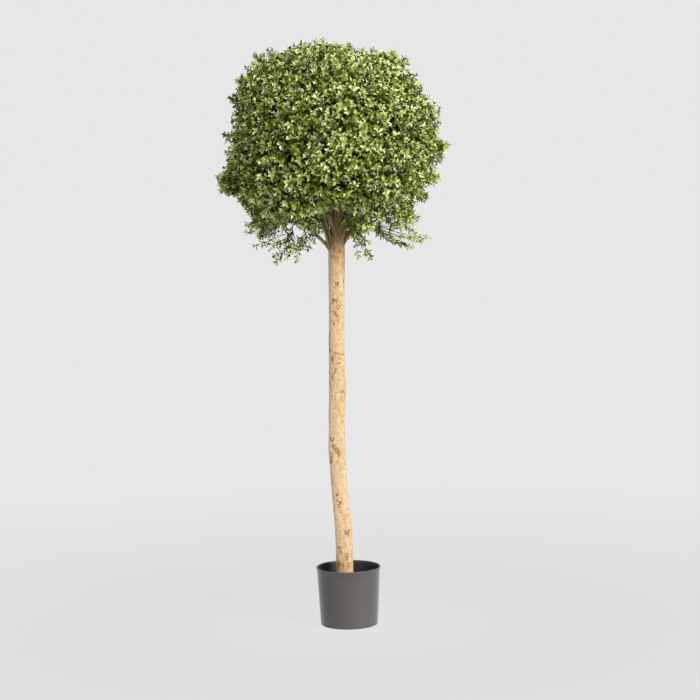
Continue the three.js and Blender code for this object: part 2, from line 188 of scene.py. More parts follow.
# Points along, sides, and the thickest and thinnest radius of each kind of twig.
TWIGS = dict(bough=(9, 6, 3.2 * MM, 2.0 * MM), branch=(7, 5, 1.8 * MM, 1.2 * MM),
             shoot=(5, 3, 1.0 * MM, 0.55 * MM), deep_shoot=(3, 3, 1.0 * MM, 0.55 * MM))
TWIG_COLORS = dict(twig_green=((0.12, 0.14, 0.07), 0.55, 0.4), twig_brown=((0.05, 0.032, 0.018), 0.7, 0.3))

BALL = dict(centre=(-0.015, 0.0, 1.225), least=0.150, beyond=0.45)
OUTLINE = dict(rays=6000, bridge=0.105, blend=0.05, close=0.05)  # angles in radians
HEM = dict(inner=1.045, left=0.992, right=1.008, between=(0.150, 0.190))  # foliage hangs loose below this
FORK = np.array([-0.02, 0.0, 1.03])  # loose shoots point away from here
HANGING = np.array([  # the lowest and loosest tips, in millimetres
    (41, -48, 951), (60, -58, 954), (72, -66, 947), (77, -40, 972), (95, -75, 992), (131, -40, 988),
    (62, -130, 1036), (38, -120, 1050), (86, -140, 1052), (72, -120, 1018), (102, -130, 1030),
    (48, -130, 1012), (122, -120, 1044), (58, -150, 1060), (98, -150, 1066), (28, -140, 1068),
    (-80, -130, 1052), (-102, -120, 1042), (-62, -140, 1064), (-120, -130, 1050), (-92, -150, 1070),
    (-40, -150, 1078), (-140, -120, 1040), (40, -172, 1060), (66, -176, 1048), (90, -170, 1058),
    (54, -162, 1032), (80, -165, 1030), (-52, -160, 1058), (48, -50, 964), (66, -62, 960), (84, -60, 966),
    (54, -40, 978), (70, -50, 984), (166, -30, 971), (178, 5, 966), (205, 20, 984), (221, 0, 991),
    (-70, -30, 988), (-115, -50, 943), (-140, -48, 950), (-166, -40, 938), (-170, -15, 953),
    (-180, -30, 972), (-220, 0, 979), (-242, 10, 1014), (-205, 20, 1000), (-90, 150, 962),
    (-140, 120, 968), (60, 150, 958), (10, 165, 985), (-40, 170, 980),
]) * MM
OPEN = [(-112, -34, 1002), (8, 34, 990)]  # nothing hangs between these x and under this height, in mm
GAPS = [  # x, z, half width and half height of the gaps in the foliage, seen from the front, in mm
    (-123, 1029, 13, 9), (-146, 1003, 11, 9), (-116, 1001, 8, 13), (-90, 1011, 8, 13), (-69, 1042, 7, 7),
    (-46, 1039, 5, 5), (14, 1037, 6, 5), (47, 1052, 8, 8), (79, 1044, 10, 8), (119, 1052, 14, 7),
    (129, 1042, 7, 10), (109, 1022, 11, 12), (134, 1003, 10, 14), (157, 1006, 8, 12), (99, 985, 13, 11),
    (84, 975, 9, 12), (198, 1011, 8, 14), (-217, 1006, 8, 11), (52, 965, 6, 7), (-231, 1047, 8, 8),
    (-64, 1050, 10, 8), (-97, 1076, 4, 4),
]
GAP_MARGIN = 1.5 * MM  # for the leaves that lean into a gap from its edge
RIM = np.array([  # sprays that stand out furthest, in millimetres
    (-318, -15, 1150), (-316, 10, 1152), (-312, 0, 1134), (-306, -30, 1132), (-304, 15, 1118),
    (-302, 0, 1158), (-292, -20, 1110), (-300, 20, 1258), (-294, -25, 1260), (-286, 0, 1356),
    (-276, 25, 1364), (-264, -20, 1382), (-260, 10, 1400), (-294, 0, 1190), (-222, 15, 1452),
    (-210, -25, 1462), (-232, 0, 1438), (-178, 10, 1474), (-44, -20, 1500), (-97, 0, 1496), (36, 0, 1486),
    (-8, 0, 1490), (-262, 0, 1412), (18, 10, 1494), (-242, -30, 1062), (-242, 10, 1036), (-236, -10, 1020),
    (-260, 0, 1088), (-258, -10, 1078), (-286, -10, 1108), (126, -15, 1462), (136, 15, 1464),
    (156, -25, 1464), (168, 10, 1450), (174, 0, 1436), (252, -20, 1332), (260, 15, 1318), (262, -10, 1304),
    (260, 20, 1290), (272, 0, 1236), (276, -20, 1220), (280, 5, 1204), (278, 25, 1194), (268, -30, 1186),
    (252, 0, 1142), (244, -30, 1134), (254, -10, 1136), (228, -25, 1096), (216, 10, 1084), (208, 0, 1090),
    (222, -10, 1096), (-40, -268, 1180), (60, -262, 1260), (-120, -240, 1330), (150, -225, 1180),
    (-190, -210, 1200), (-60, 272, 1250), (90, 262, 1190), (170, 215, 1320), (-170, 225, 1150),
    (-200, 170, 1350), (20, 200, 1425),
]) * MM
DENTS = [  # x, z, depth and radius of hollows in the outline, in millimetres
    (-200, 1462, 6, 16), (144, 1466, 6, 14), (250, 1178, 12, 16), (-276, 1284, 5, 14), (230, 1118, 9, 16),
    (74, 1480, 20, 42), (184, 1412, 15, 26), (222, 1358, 8, 22), (-158, 1468, 8, 16), (242, 1260, 15, 20),
    (-262, 1318, 12, 26), (-66, 1494, 6, 14), (-290, 1238, 6, 18), (206, 1050, 24, 30), (8, 1494, 6, 14),
]

# close, near and far: the floor's glow by the pot, in a ring round it and far out; brighter close by as
# painted light, dimmer in the ring as painted shade
STAGE = dict(radius=40.0, segments=96, rings=24, dome=0.98, dip=0.02, albedo=0.04, close=0.765, near=0.735,
             far=0.80, fades=(0.12, 0.5, 0.6, 2.2), ambient=0.49)
LIGHTS = [  # name, azimuth, elevation and width in degrees, strength
    ("key", 45, 25, 20, 3.55),
    ("top", 15, 70, 50, 1.0),
    ("side", -75, 8, 70, 0.55),
]

rng = np.random.default_rng(SEED)


# ---------------- small helpers

def unit(v):
    v = np.asarray(v, float)
    return v / np.maximum(np.linalg.norm(v, axis=-1, keepdims=True), 1e-12)


def smooth_step(x, low, high):
    t = np.clip((x - low) / (high - low), 0.0, 1.0)
    return t * t * (3 - 2 * t)


def add_mesh(name, verts, polys, material_index=None, smooth=False):
    """A mesh object from an array of corners and an array of triangles or of quads."""
    verts = np.ascontiguousarray(verts, np.float32)
    polys = np.ascontiguousarray(polys, np.int32)
    count, sides = polys.shape
    mesh = bpy.data.meshes.new(name)
    mesh.vertices.add(len(verts))
    mesh.vertices.foreach_set("co", verts.ravel())
    mesh.loops.add(count * sides)
    mesh.loops.foreach_set("vertex_index", polys.ravel())
    mesh.polygons.add(count)
    mesh.polygons.foreach_set("loop_start", np.arange(0, count * sides, sides, dtype=np.int32))
    if material_index is not None:
        mesh.polygons.foreach_set("material_index", np.ascontiguousarray(material_index, np.int32))
    mesh.update(calc_edges=True)
    mesh.polygons.foreach_set("use_smooth", np.full(count, smooth))
    piece = bpy.data.objects.new(name, mesh)
    bpy.context.scene.collection.objects.link(piece)
    return piece


def node_arrays(name):
    """A CAD node's corners and triangles."""
    mesh = frame["nodes"][name].data
    mesh.calc_loop_triangles()
    verts = np.zeros(len(mesh.vertices) * 3)
    mesh.vertices.foreach_get("co", verts)
    tris = np.zeros(len(mesh.loop_triangles) * 3, np.int32)
    mesh.loop_triangles.foreach_get("vertices", tris)
    return verts.reshape(-1, 3), tris.reshape(-1, 3)


def around(count):
    """Angles spaced evenly over a full turn."""
    return np.arange(count) * TURN / count


def ring_quads(rings, segments):
    """The quads between rings with the same number of corners, one ring after another."""
    k = np.arange(segments)
    nxt = (k + 1) % segments
    quads = np.stack([k, nxt, segments + nxt, segments + k], axis=-1)
    return (quads + segments * np.arange(rings - 1)[:, None, None]).reshape(-1, 4)


def closed_tube(rings, ends):
    """Corners and triangles of a tube through rings of corners, with a fan to each end point."""
    count, segments = rings.shape[:2]
    quads = ring_quads(count, segments)
    k = np.arange(segments)
    nxt = (k + 1) % segments
    first = count * segments
    last = first - segments
    tris = np.concatenate([
        quads[:, [0, 1, 2]], quads[:, [0, 2, 3]],
        np.stack([np.full(segments, first), nxt, k], axis=-1),
        np.stack([np.full(segments, first + 1), last + k, last + nxt], axis=-1),
    ])
    return np.vstack([rings.reshape(-1, 3), ends]), tris


def join(parts):
    """Joins parts of corners, faces and, where they have them, colours of the faces."""
    verts, faces, *colors = zip(*parts)
    starts = np.cumsum([0] + [len(v) for v in verts[:-1]])
    faces = [f + start for f, start in zip(faces, starts)]
    return [np.concatenate(arrays) for arrays in (verts, faces, *colors)]


def tree_of(names):
    """A search tree over some CAD nodes."""
    verts, tris = join([node_arrays(name) for name in names])
    return BVHTree.FromPolygons(verts.tolist(), tris.tolist())


def finish_piece(piece, nodes, materials):
    """Gives a piece its materials, hangs it under the root and hides the CAD nodes that it stands for."""
    for material in materials:
        piece.data.materials.append(material)
    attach(piece, "root")
    if nodes:
        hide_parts(*nodes)
    return piece


# ---------------- materials

class Nodes:
    """A short way to write a material's nodes."""

    def __init__(self, name):
        self.material = bpy.data.materials.new(name)
        self.material.use_nodes = True
        self.tree = self.material.node_tree
        self.shader = self.tree.nodes["Principled BSDF"]

    def feed(self, socket, value):
        """Links a socket to another, or sets its number or colour."""
        if isinstance(value, bpy.types.NodeSocket):
            self.tree.links.new(value, socket)
        elif socket.type == "RGBA":
            socket.default_value = (*value, 1.0)
        else:
            socket.default_value = value

    def set(self, key, value):
        self.feed(self.shader.inputs[key], value)

    def add(self, kind, **inputs):
        node = self.tree.nodes.new(kind)
        for key, value in inputs.items():
            self.feed(node.inputs[key.replace("_", " ")], value)
        return node

    def noise(self, scale, detail=4.0, roughness=0.55, stretch=(1, 1, 1), distortion=0.0):
        place = self.add("ShaderNodeTexCoord").outputs["Object"]
        place = self.add("ShaderNodeMapping", Vector=place, Scale=stretch).outputs["Vector"]
        return self.add("ShaderNodeTexNoise", Vector=place, Scale=scale, Detail=detail,
                        Roughness=roughness, Distortion=distortion).outputs["Fac"]

    def attribute(self, name):
        node = self.tree.nodes.new("ShaderNodeAttribute")
        node.attribute_name = name
        return node.outputs["Fac"]

    def span(self, value, low, high, to_low=0.0, to_high=1.0):
        return self.add("ShaderNodeMapRange", Value=value, From_Min=low, From_Max=high,
                        To_Min=to_low, To_Max=to_high).outputs["Result"]

    def math(self, operation, a, b):
        node = self.tree.nodes.new("ShaderNodeMath")
        node.operation = operation
        self.feed(node.inputs[0], a)
        self.feed(node.inputs[1], b)
        return node.outputs[0]

    def mix(self, share, a, b):
        node = self.tree.nodes.new("ShaderNodeMix")
        node.data_type = "RGBA"
        for socket, value in zip([s for s in node.inputs if s.enabled], (share, a, b)):
            self.feed(socket, value)
        return next(s for s in node.outputs if s.enabled)

    def length(self, vector):
        node = self.tree.nodes.new("ShaderNodeVectorMath")
        node.operation = "LENGTH"
        self.feed(node.inputs[0], vector)
        return node.outputs["Value"]

    def bump(self, height, distance):
        self.set("Normal", self.add("ShaderNodeBump", Height=height, Distance=distance).outputs["Normal"])


def plain_material(name, color, roughness, specular):
    """One flat colour, for leaves and twigs: their detail is in their shapes and their mix."""
    n = Nodes(name)
    n.set("Base Color", color)
    n.set("Roughness", roughness)
    n.set("Specular IOR Level", specular)
    return n.material


def pot_material(name, shade, specular, sheen):
    n = Nodes(name)
    broad = n.span(n.noise(9.0, 3.0), 0.3, 0.7)
    fine = n.span(n.noise(520.0, 2.0), 0.35, 0.65)
    dark, pale, dust = (tuple(shade * part for part in color) for color in (
        (0.082, 0.075, 0.070), (0.097, 0.089, 0.083), (0.12, 0.112, 0.105)))
    color = n.mix(broad, dark, pale)
    n.set("Base Color", n.mix(n.math("MULTIPLY", fine, 0.25), color, dust))
    n.set("Roughness", n.span(broad, 0.0, 1.0, 0.42, 0.52))
    n.set("Specular IOR Level", specular)
    n.set("Sheen Weight", sheen)
    n.set("Sheen Roughness", 0.35)
    n.bump(fine, 0.05 * MM)
    return n.material


def filling_material():
    n = Nodes("cement")
    broad = n.noise(35.0, 5.0)
    fine = n.noise(420.0, 3.0, 0.7)
    color = n.mix(n.span(broad, 0.35, 0.65), (0.022, 0.019, 0.016), (0.055, 0.048, 0.04))
    n.set("Base Color", n.mix(n.span(fine, 0.55, 0.75), color, (0.09, 0.08, 0.068)))
    n.set("Roughness", 0.95)
    n.bump(fine, 0.4 * MM)
    return n.material


def pole_material():
    """Peeled wood: pale mottled grain, brown where bark is left and in the beetle tracks, reddish-brown
    patches, painted shade at the pole's top and left edge, and painted light over its left half.
    """
    n = Nodes("peeled_wood")
    grain = n.noise(240.0, 5.0, 0.6, stretch=(1, 1, 0.05), distortion=0.4)
    blotch = n.noise(24.0, 4.0, 0.6, stretch=(1, 1, 0.35))
    mottle = n.noise(115.0, 4.0, 0.65, stretch=(1, 1, 0.55))
    fleck = n.noise(210.0, 3.0, 0.7, stretch=(1, 1, 0.6))
    color = n.mix(n.span(blotch, 0.35, 0.68), (0.64, 0.497, 0.318), (0.60, 0.425, 0.265))
    color = n.mix(n.span(mottle, 0.45, 0.60, 0.0, 0.85), color, (0.55, 0.355, 0.165))
    color = n.mix(n.span(grain, 0.5, 0.72, 0.0, 0.5), color, (0.43, 0.28, 0.13))
    color = n.mix(n.span(fleck, 0.57, 0.66, 0.0, 0.85), color, (0.33, 0.19, 0.08))
    # painted light: the pole's left half is lighter, to even out its shading
    color = n.mix(n.attribute("painted_light"), color, (0.82, 0.61, 0.395))
    # reddish-brown wood near the fork, at the foot and in cloudy patches, and in the same layer painted
    # shade: the crown's shadow on the pole's top and a band along its left edge
    color = n.mix(n.attribute("ruddy_and_shade"), color, (0.40, 0.185, 0.062))
    bark = n.attribute("bark")
    color = n.mix(n.span(bark, 0.05, 0.6), color, (0.38, 0.215, 0.075))
    color = n.mix(n.span(bark, 0.45, 1.0), color, (0.13, 0.058, 0.018))
    n.set("Base Color", color)
    n.set("Roughness", n.span(grain, 0.3, 0.7, 0.5, 0.66))
    n.set("Specular IOR Level", 0.25)
    n.bump(n.math("ADD", grain, fleck), 0.22 * MM)
    return n.material


def limb_material():
    n = Nodes("limb_wood")
    grain = n.noise(260.0, 5.0, 0.6, stretch=(1, 1, 0.15), distortion=0.5)
    blotch = n.noise(45.0, 4.0)
    color = n.mix(n.span(blotch, 0.35, 0.65), (0.13, 0.055, 0.026), (0.34, 0.19, 0.09))
    n.set("Base Color", n.mix(n.span(grain, 0.5, 0.7, 0.0, 0.6), color, (0.46, 0.29, 0.15)))
    n.set("Roughness", 0.72)
    n.bump(grain, 0.25 * MM)
    return n.material


def stem_material():
    """Grey-green moulded plastic with paler rubbed streaks."""
    n = Nodes("stem_plastic")
    streak = n.noise(160.0, 3.0, 0.5, stretch=(1, 1, 0.12))
    broad = n.noise(30.0, 3.0)
    color = n.mix(n.span(broad, 0.35, 0.65), (0.19, 0.175, 0.068), (0.33, 0.31, 0.135))
    n.set("Base Color", n.mix(n.span(streak, 0.52, 0.7, 0.0, 0.7), color, (0.50, 0.46, 0.26)))
    n.set("Roughness", 0.5)
    n.bump(streak, 0.15 * MM)
    return n.material


# Leaf colours: base colour, roughness and specular level. deep and shade are near black: painted shade for
# the leaves inside the ball.
LEAF_COLORS = dict(
    lime=((0.70, 0.75, 0.34), 0.30, 0.9),
    bright=((0.467, 0.55, 0.145), 0.32, 0.8),
    green=((0.228, 0.285, 0.040), 0.36, 0.55),
    deep=((0.057, 0.077, 0.003), 0.5, 0.15),
    olive=((0.142, 0.165, 0.010), 0.45, 0.3),
    sage=((0.40, 0.43, 0.235), 0.30, 0.8),
    shade=((0.021, 0.025, 0.001), 0.7, 0.05),
)
LEAF_NAMES = list(LEAF_COLORS)
# A spray's rosettes take the first colour of its family, and lower leaves the others, which are darker:
# lighter new growth at the tips, and painted shade lower down. The last family, near black, is painted shade
# for the shoots deep in the ball.
FAMILIES = [("lime", "bright", "deep"), ("bright", "green", "deep"), ("green", "olive", "deep"),
            ("bright", "olive", "shade"), ("sage", "green", "deep"), ("deep", "shade", "shade")]
FAMILY_SHARES = np.array([0.31, 0.34, 0.13, 0.10, 0.12, 0.0])
LOW_PAINTED_LIGHT_SHARES = np.array([0.34, 0.30, 0.05, 0.03, 0.28, 0.0])  # paler families under the ball: painted light that lifts the shade there
LEFT_SHADE_SHARES = np.array([0.13, 0.28, 0.27, 0.22, 0.10, 0.0])  # darker families on the left: painted shade on the ball's side away from the key light
LEFT_SHADE_FROM = (-0.05, 0.25)  # how far left the darker ones start and are all there is, in metres


# ---------------- tubes

# Directions that the sides of tubes are measured from. The second is for tubes along the first.
TUBE_SIDES = np.array([(0.31, 0.17, 0.93), (0.9, -0.4, 0.1)])
WEAK = 0.2  # the sine under which a tube counts as along the first


def tubes(paths, radii, sides):
    """One array of corners and one of quads for tubes along many paths of equal length.

    paths is (tubes, points, 3) and radii is (tubes, points) or a broadcast of it.
    """
    count, points, _ = paths.shape
    tangent = unit(np.gradient(paths, axis=1))
    side = np.cross(tangent, TUBE_SIDES[0])
    weak = np.linalg.norm(side, axis=-1) < WEAK
    side[weak] = np.cross(tangent[weak], TUBE_SIDES[1])
    side = unit(side)
    # One reference for the whole path keeps the sides from twisting.
    for i in range(1, points):
        last, along = side[:, i - 1], tangent[:, i]
        side[:, i] = unit(last - along * np.sum(last * along, axis=-1, keepdims=True))
    other = np.cross(tangent, side)
    angle = around(sides)[:, None]
    ring = side[:, :, None] * np.cos(angle) + other[:, :, None] * np.sin(angle)
    radii = np.broadcast_to(radii, (count, points))
    verts = paths[:, :, None] + ring * radii[:, :, None, None]
    starts = np.arange(count)[:, None, None] * points * sides
    return verts.reshape(-1, 3), (starts + ring_quads(points, sides)).reshape(-1, 4)


def bezier(p0, p1, p2, t):
    return (1 - t) ** 2 * p0 + 2 * t * (1 - t) * p1 + t ** 2 * p2


def spline(points, count):
    """A smooth path of count points through some points."""
    points = np.asarray(points, float)
    at = np.linspace(0, len(points) - 1, count)
    i = np.clip(at.astype(int), 0, len(points) - 2)
    t = (at - i)[:, None]
    padded = np.vstack([2 * points[0] - points[1], points, 2 * points[-1] - points[-2]])
    a, b, c, d = (padded[i + k] for k in range(4))
    return 0.5 * (2 * b + (c - a) * t + (2 * a - 5 * b + 4 * c - d) * t ** 2
                  + (3 * b - a - 3 * c + d) * t ** 3)


# ---------------- pot

def turned(name, profile, segments):
    """A closed solid turned about Z from a profile of (radius, height) that starts and ends on Z."""
    profile = np.array(profile)
    radius, height = profile[1:-1, :1], profile[1:-1, 1:]
    angle = around(segments)
    rings = np.stack(np.broadcast_arrays(radius * np.cos(angle), radius * np.sin(angle), height), -1)
    verts, tris = closed_tube(rings, [(0, 0, profile[0, 1]), (0, 0, profile[-1, 1])])
    return add_mesh(name, verts, tris, smooth=True)


def arc(centre, radius, start, stop, points=6):
    angle = np.radians(np.linspace(start, stop, points))
    return [(centre[0] + radius * math.cos(a), centre[1] + radius * math.sin(a)) for a in angle]


def pot_profile(lip, rim):
    """The pot's section, from under its foot and over its rim to the middle of its floor."""
    foot, wall, floor = POT["foot"], POT["wall"], POT["floor"]
    body = lip - POT["lip_proud"]
    under = rim - POT["lip_height"]

    def outer(z):
        return foot + (body - foot) * (z / under) ** POT["bulge"]

    def beside(radius, offsets):
        return [(radius + x * MM, rim + z * MM) for x, z in offsets]

    hollow, foot_round, rim_round = POT["hollow"], POT["foot_round"], POT["rim_round"]
    start, end = POT["hollow_edge"]
    profile = [(0.0, hollow), (foot - start, hollow), (foot - end, 0.0)]
    profile += arc((foot - foot_round, foot_round), foot_round, -90, -4)
    profile += [(outer(z), z) for z in np.linspace(POT["wall_from"], under, 24)]
    profile += beside(body, LIP_STEP) + beside(lip, LIP_FLARE)
    profile += arc((lip - rim_round, rim - rim_round), rim_round, 0, 180, 8)
    profile += beside(lip, LIP_INSIDE) + [(body - wall, under)]
    profile += [(outer(z) - wall, z) for z in np.linspace(under - POT["inner_from"], floor, 10)]
    return profile + [(0.0, floor)]


def make_pot():
    low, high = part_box("pot")
    rim = high.z - low.z
    pot = turned("pot_shell", pot_profile(high.x - POT["inset"], rim), POT["segments"])
    finish_piece(pot, ["pot"], [pot_material(name, *looks) for name, looks in POT_LOOKS.items()])
    # the inner wall takes the darker copy of the pot's material: painted shade
    for face in pot.data.polygons:
        inside = POT["floor"] < face.center.z < rim - POT["inside"]
        face.material_index = int(inside and face.normal.dot(face.center) < 0)


def cement_waves(x, y):
    """A rough height field, about 0 on average."""
    count = FILLING["waves"]
    waves = zip(rng.uniform(*FILLING["wave_numbers"], count), rng.uniform(*PHASES, count),
                rng.uniform(*PHASES, count), rng.uniform(*FILLING["wave_heights"], count))
    return sum(np.sin(x * k * math.cos(a) + y * k * math.sin(a) + phase) * height
               for k, a, phase, height in waves) / FILLING["wave_scale"]


def make_filling():
    """The cement's rough top, with a skirt that runs down inside the pot."""
    _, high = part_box("pot_filling")
    rings, segments = FILLING["rings"], FILLING["segments"]
    r = high.x * np.linspace(0, 1, rings)[:, None] ** FILLING["spread"]
    angle = around(segments)
    x, y = r * np.cos(angle), r * np.sin(angle)
    z = (high.z + FILLING["roughness"] * (cement_waves(x, y) - 1.0)
         + FILLING["edge_rise"] * (r / high.x) ** FILLING["edge_power"])
    skirt = np.stack([x[-1], y[-1], np.full(segments, high.z - FILLING["skirt"])], axis=-1)
    verts = np.vstack([np.stack([x, y, z], axis=-1).reshape(-1, 3), skirt])
    quads = ring_quads(rings + 1, segments)[:, [0, 3, 2, 1]]
    piece = add_mesh("filling", verts, quads, smooth=True)
    finish_piece(piece, ["pot_filling"], [filling_material()])


# ---------------- pole

# Marks on the pole. Each starts with its height in mm and its place across the front in
# shares of the radius, where -1 is the left edge.
TRACKS = [  # squiggles: half length in mm, turns, slant in degrees
    (947, -0.2, 11, 1.3, -35), (880, 0.1, 6, 0.6, 60), (839, -0.33, 8, 1.4, -20), (833, -0.5, 5, 1.0, 40),
    (678, 0.25, 4.5, 1.2, 20), (650, -0.43, 16, 0.5, 88), (605, 0.6, 6, 1.4, 20), (586, 0.5, 7, 0.6, 88),
    (482, -0.68, 6, 0.3, -62), (482, -0.52, 6, 0.3, 70), (438, -0.7, 7, 0.5, 60), (457, 0.16, 4, 1.0, 0),
    (338, -0.41, 4, 0.6, 40), (338, -0.41, 4, 0.5, -50), (321, -0.22, 5, 0.4, -60), (318, -0.1, 5, 0.4, 60),
    (242, 0.5, 10, 1.4, 30), (238, 0.3, 8, 1.0, -40), (180, 0.3, 8, 1.2, 80), (158, 0.4, 6, 1.0, 60),
    (700, 0.3, 14, 0.2, 0),
]
RINGS = [  # radius in mm
    (821, 0.12, 4.6), (447, 0.28, 4.6), (201, -0.6, 3.4), (190, -0.48, 3.2), (779, -0.4, 2.4),
    (463, -0.42, 5.0), (881, 0.0, 4.0),
]
DOTS = [  # radius in mm
    (543, -0.04, 1.9), (499, 0.96, 1.6), (403, 0.26, 1.7), (389, 0.2, 1.3), (425, 0.05, 1.4),
    (418, 0.75, 1.7), (407, 0.75, 1.5), (307, -0.25, 2.4), (294, -0.15, 2.2), (313, -0.33, 1.3),
    (871, -0.3, 1.9), (868, -0.1, 1.4), (960, 0.7, 2.2), (365, 0.3, 1.3), (276, 0.1, 1.4), (463, -0.42, 2.6),
]
PATCHES = [  # remnants of bark: half height and half width in mm, lean, strength
    (887, 0.8, 9, 2.2, 0.0, 0.9), (799, -0.05, 15, 3.2, -0.45, 0.9), (725, -0.94, 18, 2.5, 0.0, 0.8),
    (712, -0.9, 8, 4.0, 0.0, 0.9), (690, -0.57, 10, 3.2, 0.0, 1.0), (691, 0.3, 7, 6.0, 0.0, 0.45),
    (456, -0.08, 5, 4.0, 0.0, 0.8), (446, 0.2, 8, 2.8, 0.0, 0.9), (426, -0.78, 5, 4.0, 0.0, 1.0),
    (240, 0.5, 9, 4.6, 0.0, 0.9), (158, -0.72, 13, 5.5, 0.2, 1.0), (158, -0.15, 13, 1.6, -0.4, 0.8),
    (172, 0.35, 8, 2.0, 0.0, 0.6), (152, 0.45, 6, 1.6, 0.0, 0.6), (212, 0.2, 9, 1.4, 0.0, 0.5),
    (597, 0.9, 12, 2.2, 0.0, 0.7), (545, -0.95, 18, 1.8, 0.0, 0.6), (330, -0.97, 20, 1.5, 0.0, 0.6),
    (640, -0.97, 16, 1.6, 0.0, 0.6), (965, 0.45, 10, 3.0, 0.2, 0.9), (968, -0.3, 9, 3.0, -0.2, 0.9),
]
FRECKLED = [(900, 36), (815, 28), (650, 45), (600, 15), (440, 30), (320, 30), (215, 40)]  # height, spread
FRECKLES = dict(count=1500, gathered=0.7, heights=(110, 970))  # the share in those places, and the rest
# How many more marks there are, then the ranges of the numbers in their rows.
MORE_TRACKS = (42, (4, 11), (0.3, 1.6), (-90, 90))
MORE_DOTS = (30, (1.1, 2.2))
MORE_PATCHES = (20, (5, 18), (1.5, 4.5), (-0.5, 0.5), (0.5, 1.0))
MORE_AT = dict(side=(1.4, 4.9), heights=(130, 960))  # where they are: azimuths in radians, and mm
TRACK_LINE = dict(points=2.4, sway=0.32, waves=1.6)
RING_LINE = dict(points=5, turn=5.6)  # points to the mm of radius, and how far round it goes
PATCH_FILL = dict(points=(6, 0.5), spread=0.45)  # least points and how many more to the square mm
SPOTS = dict(  # radii and relief of a mark's spots in mm, and the share of them left out
    track=((1.2, 2.1), -0.35, 0.12), ring=((1.1, 1.8), -0.3, 0.1), patch=((1.2, 2.8), 0.25, 0.0),
    freckle=((0.9, 2.0), -0.1, 0.0))
SPOT = dict(relief=(0.4, 1.0), strength=(0.55, 1.0), reach=2.5, edge=1.3)  # shares, radii and a power
DOT_RELIEF = -0.5
FRECKLE_STRENGTH = 0.8
RELIEF = (-0.7, 0.6)  # least and most


def trunk_shape(heights, azimuths):
    """Centres and radii of the CAD stem at some heights and azimuths."""
    tree = tree_of(["trunk"])
    verts, _ = node_arrays("trunk")
    out = np.stack([np.sin(azimuths), -np.cos(azimuths)], -1)
    centres, reach = [], []
    for height in heights:
        near = verts[np.abs(verts[:, 2] - height) < TRUNK["near"]]
        weight = np.exp(-(((near[:, 2] - height) / TRUNK["window"]) ** 2))[:, None]
        guess = (near * weight).sum(0)[:2] / weight.sum()
        origin = Vector((*guess, height))
        hits = np.array([tree.ray_cast(origin, Vector((*way, 0.0)))[3] for way in out])
        # Move the centre to the middle of the section.
        shift = 2 * np.mean(hits[:, None] * out, 0)
        centres.append(guess + shift)
        reach.append(hits - (shift * out).sum(-1))
    return np.array(centres), np.array(reach)


def blur(values, width, axis, wrap):
    """Gaussian blur along one axis."""
    span = int(3 * width) + 1
    kernel = np.exp(-0.5 * (np.arange(-span, span + 1) / width) ** 2)
    kernel /= kernel.sum()
    pad = [(0, 0)] * values.ndim
    pad[axis] = (span, span)
    padded = np.pad(values, pad, mode="wrap" if wrap else "edge")
    return sum(k * np.take(padded, np.arange(i, i + values.shape[axis]), axis=axis)
               for i, k in enumerate(kernel))


def track_line(size, turns, slant, phase):
    """A squiggle, as points (millimetres across the face, millimetres up)."""
    t = np.linspace(-1, 1, int(TRACK_LINE["points"] * size) + 3)
    aside = TRACK_LINE["sway"] * size * np.sin(np.pi * turns * t * TRACK_LINE["waves"] + phase)
    a = math.radians(slant)
    return np.stack([t * size * math.cos(a) - aside * math.sin(a),
                     t * size * math.sin(a) + aside * math.cos(a)], axis=-1)


def mark_spots(radius_mm):
    """All marks as uneven spots: rows of place round the pole, height, radius, relief and strength."""
    draw = np.random.default_rng(MARK_SEED)
    spots = []

    def scatter(points, kind, strength=1.0):
        sizes, relief, missing = SPOTS[kind]
        for point in points:
            if draw.random() >= missing:
                spots.append((*point, draw.uniform(*sizes), relief * draw.uniform(*SPOT["relief"]),
                              strength * draw.uniform(*SPOT["strength"])))

    def placed(marks):
        return [((math.asin(across) * radius_mm, z), *rest) for z, across, *rest in marks]

    def more(count, *ranges):
        spans = (MORE_AT["side"], MORE_AT["heights"], *ranges)
        rows = [[draw.uniform(*span) for span in spans] for _ in range(count)]
        return [((azimuth * radius_mm, z), *rest) for azimuth, z, *rest in rows]

    for place, size, turns, slant in placed(TRACKS) + more(*MORE_TRACKS):
        scatter(track_line(size, turns, slant, place[1]) + place, "track")
    for place, radius in placed(RINGS):
        turn = np.linspace(0, RING_LINE["turn"], int(RING_LINE["points"] * radius)) + place[1]
        scatter(np.stack([np.cos(turn), np.sin(turn)], -1) * radius + place, "ring")
    for place, radius in placed(DOTS) + more(*MORE_DOTS):
        spots.append((*place, radius, DOT_RELIEF, 1.0))
    least, share = PATCH_FILL["points"]
    for place, half_height, half_width, lean, strength in placed(PATCHES) + more(*MORE_PATCHES):
        count = int(least + share * half_height * half_width)
        off = draw.normal(0, PATCH_FILL["spread"], (count, 2)) * (half_width, half_height)
        off[:, 0] += lean * off[:, 1]
        scatter(off + place, "patch", strength)
    for _ in range(FRECKLES["count"]):
        gathered = FRECKLED[draw.integers(len(FRECKLED))]
        near = draw.random() < FRECKLES["gathered"]
        z = draw.normal(*gathered) if near else draw.uniform(*FRECKLES["heights"])
        scatter([(draw.uniform(0, TURN) * radius_mm, z)], "freckle", FRECKLE_STRENGTH)
    return spots


def paint_marks(arc_mm, z_mm, radius_mm):
    """Relief in mm and a mask of brown over the pole's skin."""
    relief = np.zeros(arc_mm.shape)
    bark = np.zeros(arc_mm.shape)
    girth = TURN * radius_mm
    for place, z, radius, lift, strength in mark_spots(radius_mm):
        reach = SPOT["reach"] * radius
        rows = slice(*np.searchsorted(z_mm[:, 0], (z - reach, z + reach)))
        across = (arc_mm[rows] - place + girth / 2) % girth - girth / 2
        far = (across ** 2 + (z_mm[rows] - z) ** 2) / radius ** 2
        spot = np.exp(-far ** SPOT["edge"])
        relief[rows] += lift * spot
        bark[rows] = np.maximum(bark[rows], strength * spot)
    return np.clip(relief, *RELIEF), bark


